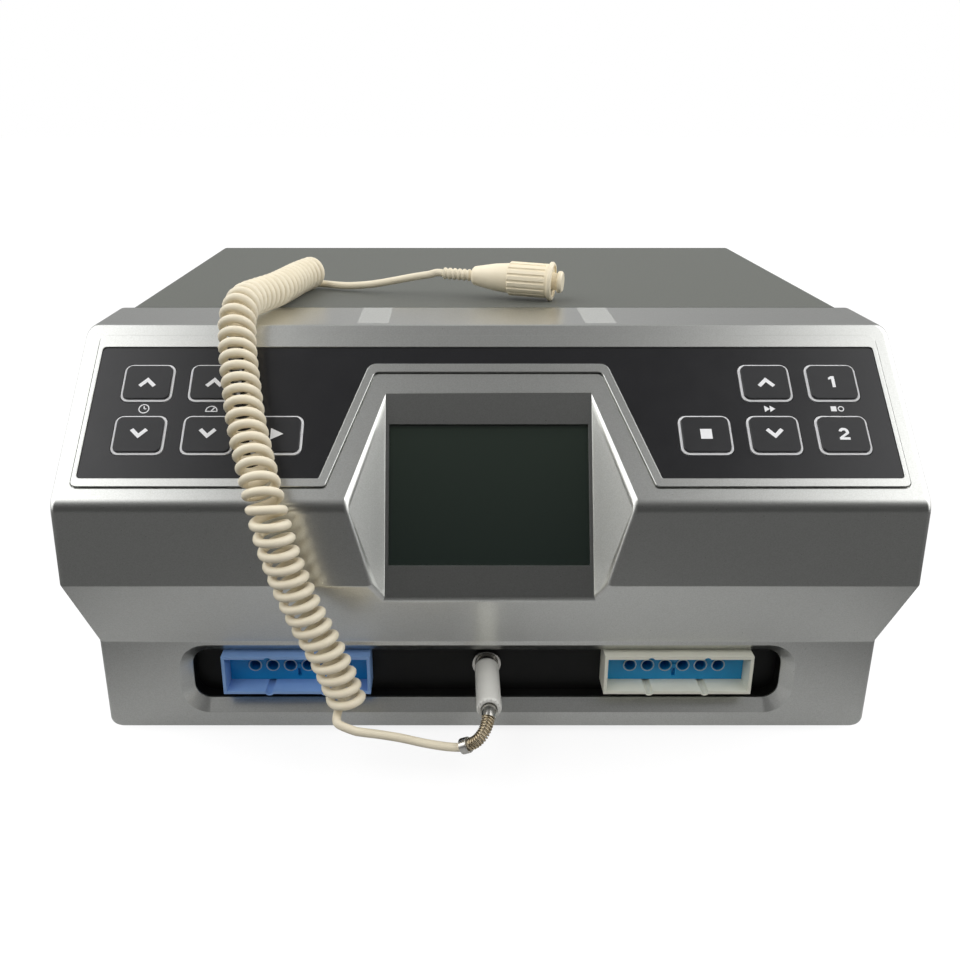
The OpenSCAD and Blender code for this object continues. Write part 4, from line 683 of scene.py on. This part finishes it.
for skin, names in ((black_plastic, "mains_inlet switch_frame power_rocker key_switches lcd_module "
                                    "jack_socket solenoid_valves handset_switch"),
                    (rubbery, "rubber_feet compressor_mounts supply_hose"), (zinc_sheet, "base_tray"),
                    (board_green, "keypad_board_left keypad_board_right control_board power_board"),
                    (nickel_plate, "board_posts"),
                    (cast_aluminium, "air_compressor valve_manifold"), (vinyl_hose, "port_hoses")):
    for node in names.split():
        coat(nodes[node], skin)


# ---- Floor, backdrop and lamps ----
# White table under broad soft lamps. The floor is white to the camera and keeps a shadow. Its own colour is a
# painted pool of light: pale close to the pump and behind it, almost black further off.
bpy.context.scene.view_settings.view_transform = "Standard"
world = bpy.data.worlds.new("room")
bpy.context.scene.world = world
world.use_nodes = True
room = world.node_tree
GLOSSY_SHARE = 0.02


def seen_white(tree, glossy_share):
    """1 for the camera and through glass, glossy_share in reflections and 0 for the light itself."""
    rays = wire(tree, "ShaderNodeLightPath").outputs
    direct = wire(tree, "ShaderNodeMath", {"operation": "MAXIMUM"}, in0=rays["Is Camera Ray"],
                  in1=rays["Is Transmission Ray"])
    mirrored = wire(tree, "ShaderNodeMath", {"operation": "MULTIPLY"}, in0=rays["Is Glossy Ray"],
                    in1=glossy_share)
    return wire(tree, "ShaderNodeMath", {"operation": "MAXIMUM"}, in0=direct.outputs[0],
                in1=mirrored.outputs[0]).outputs[0]


heading = wire(room, "ShaderNodeSeparateXYZ", in0=wire(room, "ShaderNodeTexCoord").outputs["Generated"])


def ramp(tree, value, start, stop, low=0.0, high=1.0):
    return wire(tree, "ShaderNodeMapRange", {"interpolation_type": "SMOOTHSTEP"}, Value=value,
                From_Min=start, From_Max=stop, To_Min=low, To_Max=high).outputs[0]


across, deep, up = heading.outputs
boxes = joined(room, "MAXIMUM", ramp(room, across, -0.19, -0.37), ramp(room, across, 0.25, 0.48))
boxes = joined(room, "MULTIPLY", boxes, ramp(room, deep, 0.9, 0.4, 0.1, 1.9))
boxes = joined(room, "MULTIPLY", boxes, ramp(room, deep, -0.6, -0.25))
boxes = joined(room, "MULTIPLY", boxes, ramp(room, up, 0.1, 0.5, 0.7, 1.15))
middle = joined(room, "ABSOLUTE", across, 0.0)
back = joined(room, "MULTIPLY", ramp(room, deep, 0.1, 0.7, 0.0, 0.42), ramp(room, middle, 0.0, 0.4, 1.0, 0.6))
dim = joined(room, "ADD", ramp(room, up, 0.5, 1.0, 0.035, 0.17), back)
strength = wire(room, "ShaderNodeMix", in0=seen_white(room, GLOSSY_SHARE), in2=joined(room, "MAXIMUM", boxes, dim),
                in3=1.0)
room.links.new(strength.outputs[0], room.nodes["Background"].inputs["Strength"])
room.nodes["Background"].inputs["Color"].default_value = (1, 1, 1, 1)

floor_mesh = bpy.data.meshes.new("floor")
floor_mesh.from_pydata([(-8, -8, 0), (8, -8, 0), (8, 8, 0), (-8, 8, 0)], [], [(0, 1, 2, 3)])
floor = bpy.data.objects.new("floor", floor_mesh)
bpy.context.scene.collection.objects.link(floor)
table = bpy.data.materials.new("white_table_painted_pool")
table.use_nodes = True
tree = table.node_tree
on_table = wire(tree, "ShaderNodeTexCoord").outputs["Object"]
away = wire(tree, "ShaderNodeVectorMath", {"operation": "LENGTH"}, in0=on_table).outputs["Value"]
behind = wire(tree, "ShaderNodeSeparateXYZ", in0=on_table).outputs["Y"]
# Painted pool of light: pale close to the pump and behind it, almost black further off, so distant floor shows
# dark in reflections.
painted_pool = joined(tree, "MAXIMUM", ramp(tree, away, 0.17, 0.4, 1.0, 0.0), ramp(tree, behind, -0.1, 0.1))
pale = wire(tree, "ShaderNodeMix", {"data_type": "RGBA"}, in0=painted_pool, in6=(0.05, 0.05, 0.05, 1),
            in7=(0.45, 0.45, 0.45, 1))
tree.links.new(pale.outputs[2], tree.nodes["Principled BSDF"].inputs["Base Color"])
tree.nodes["Principled BSDF"].inputs["Roughness"].default_value = 0.9
kept = wire(tree, "ShaderNodeMapRange", Value=painted_pool, To_Min=1.0, To_Max=0.66)
share = wire(tree, "ShaderNodeMath", {"operation": "MULTIPLY"}, in0=seen_white(tree, GLOSSY_SHARE),
             in1=kept.outputs[0])
blend = wire(tree, "ShaderNodeMixShader", in0=share.outputs[0], in1=tree.nodes["Principled BSDF"].outputs[0],
             in2=wire(tree, "ShaderNodeEmission", Strength=1.3).outputs[0])
tree.links.new(blend.outputs[0], tree.nodes["Material Output"].inputs["Surface"])
floor_mesh.materials.append(table)
for name, spot, size, power in (("fill_left", (-0.7, -1.1, 1.3), 1.0, 7),
                                ("fill_right", (0.8, -1.0, 1.3), 1.0, 6),
                                ("fill_back", (0.2, 1.5, 1.0), 1.2, 10)):
    light = bpy.data.lights.new(name, "AREA")
    light.size, light.energy = size, power
    lamp = bpy.data.objects.new(name, light)
    bpy.context.scene.collection.objects.link(lamp)
    lamp.location = spot
    lamp.rotation_euler = (Vector((0, -0.05, 0.1)) - Vector(spot)).to_track_quat("-Z", "Y").to_euler()
    lamp.visible_glossy = False
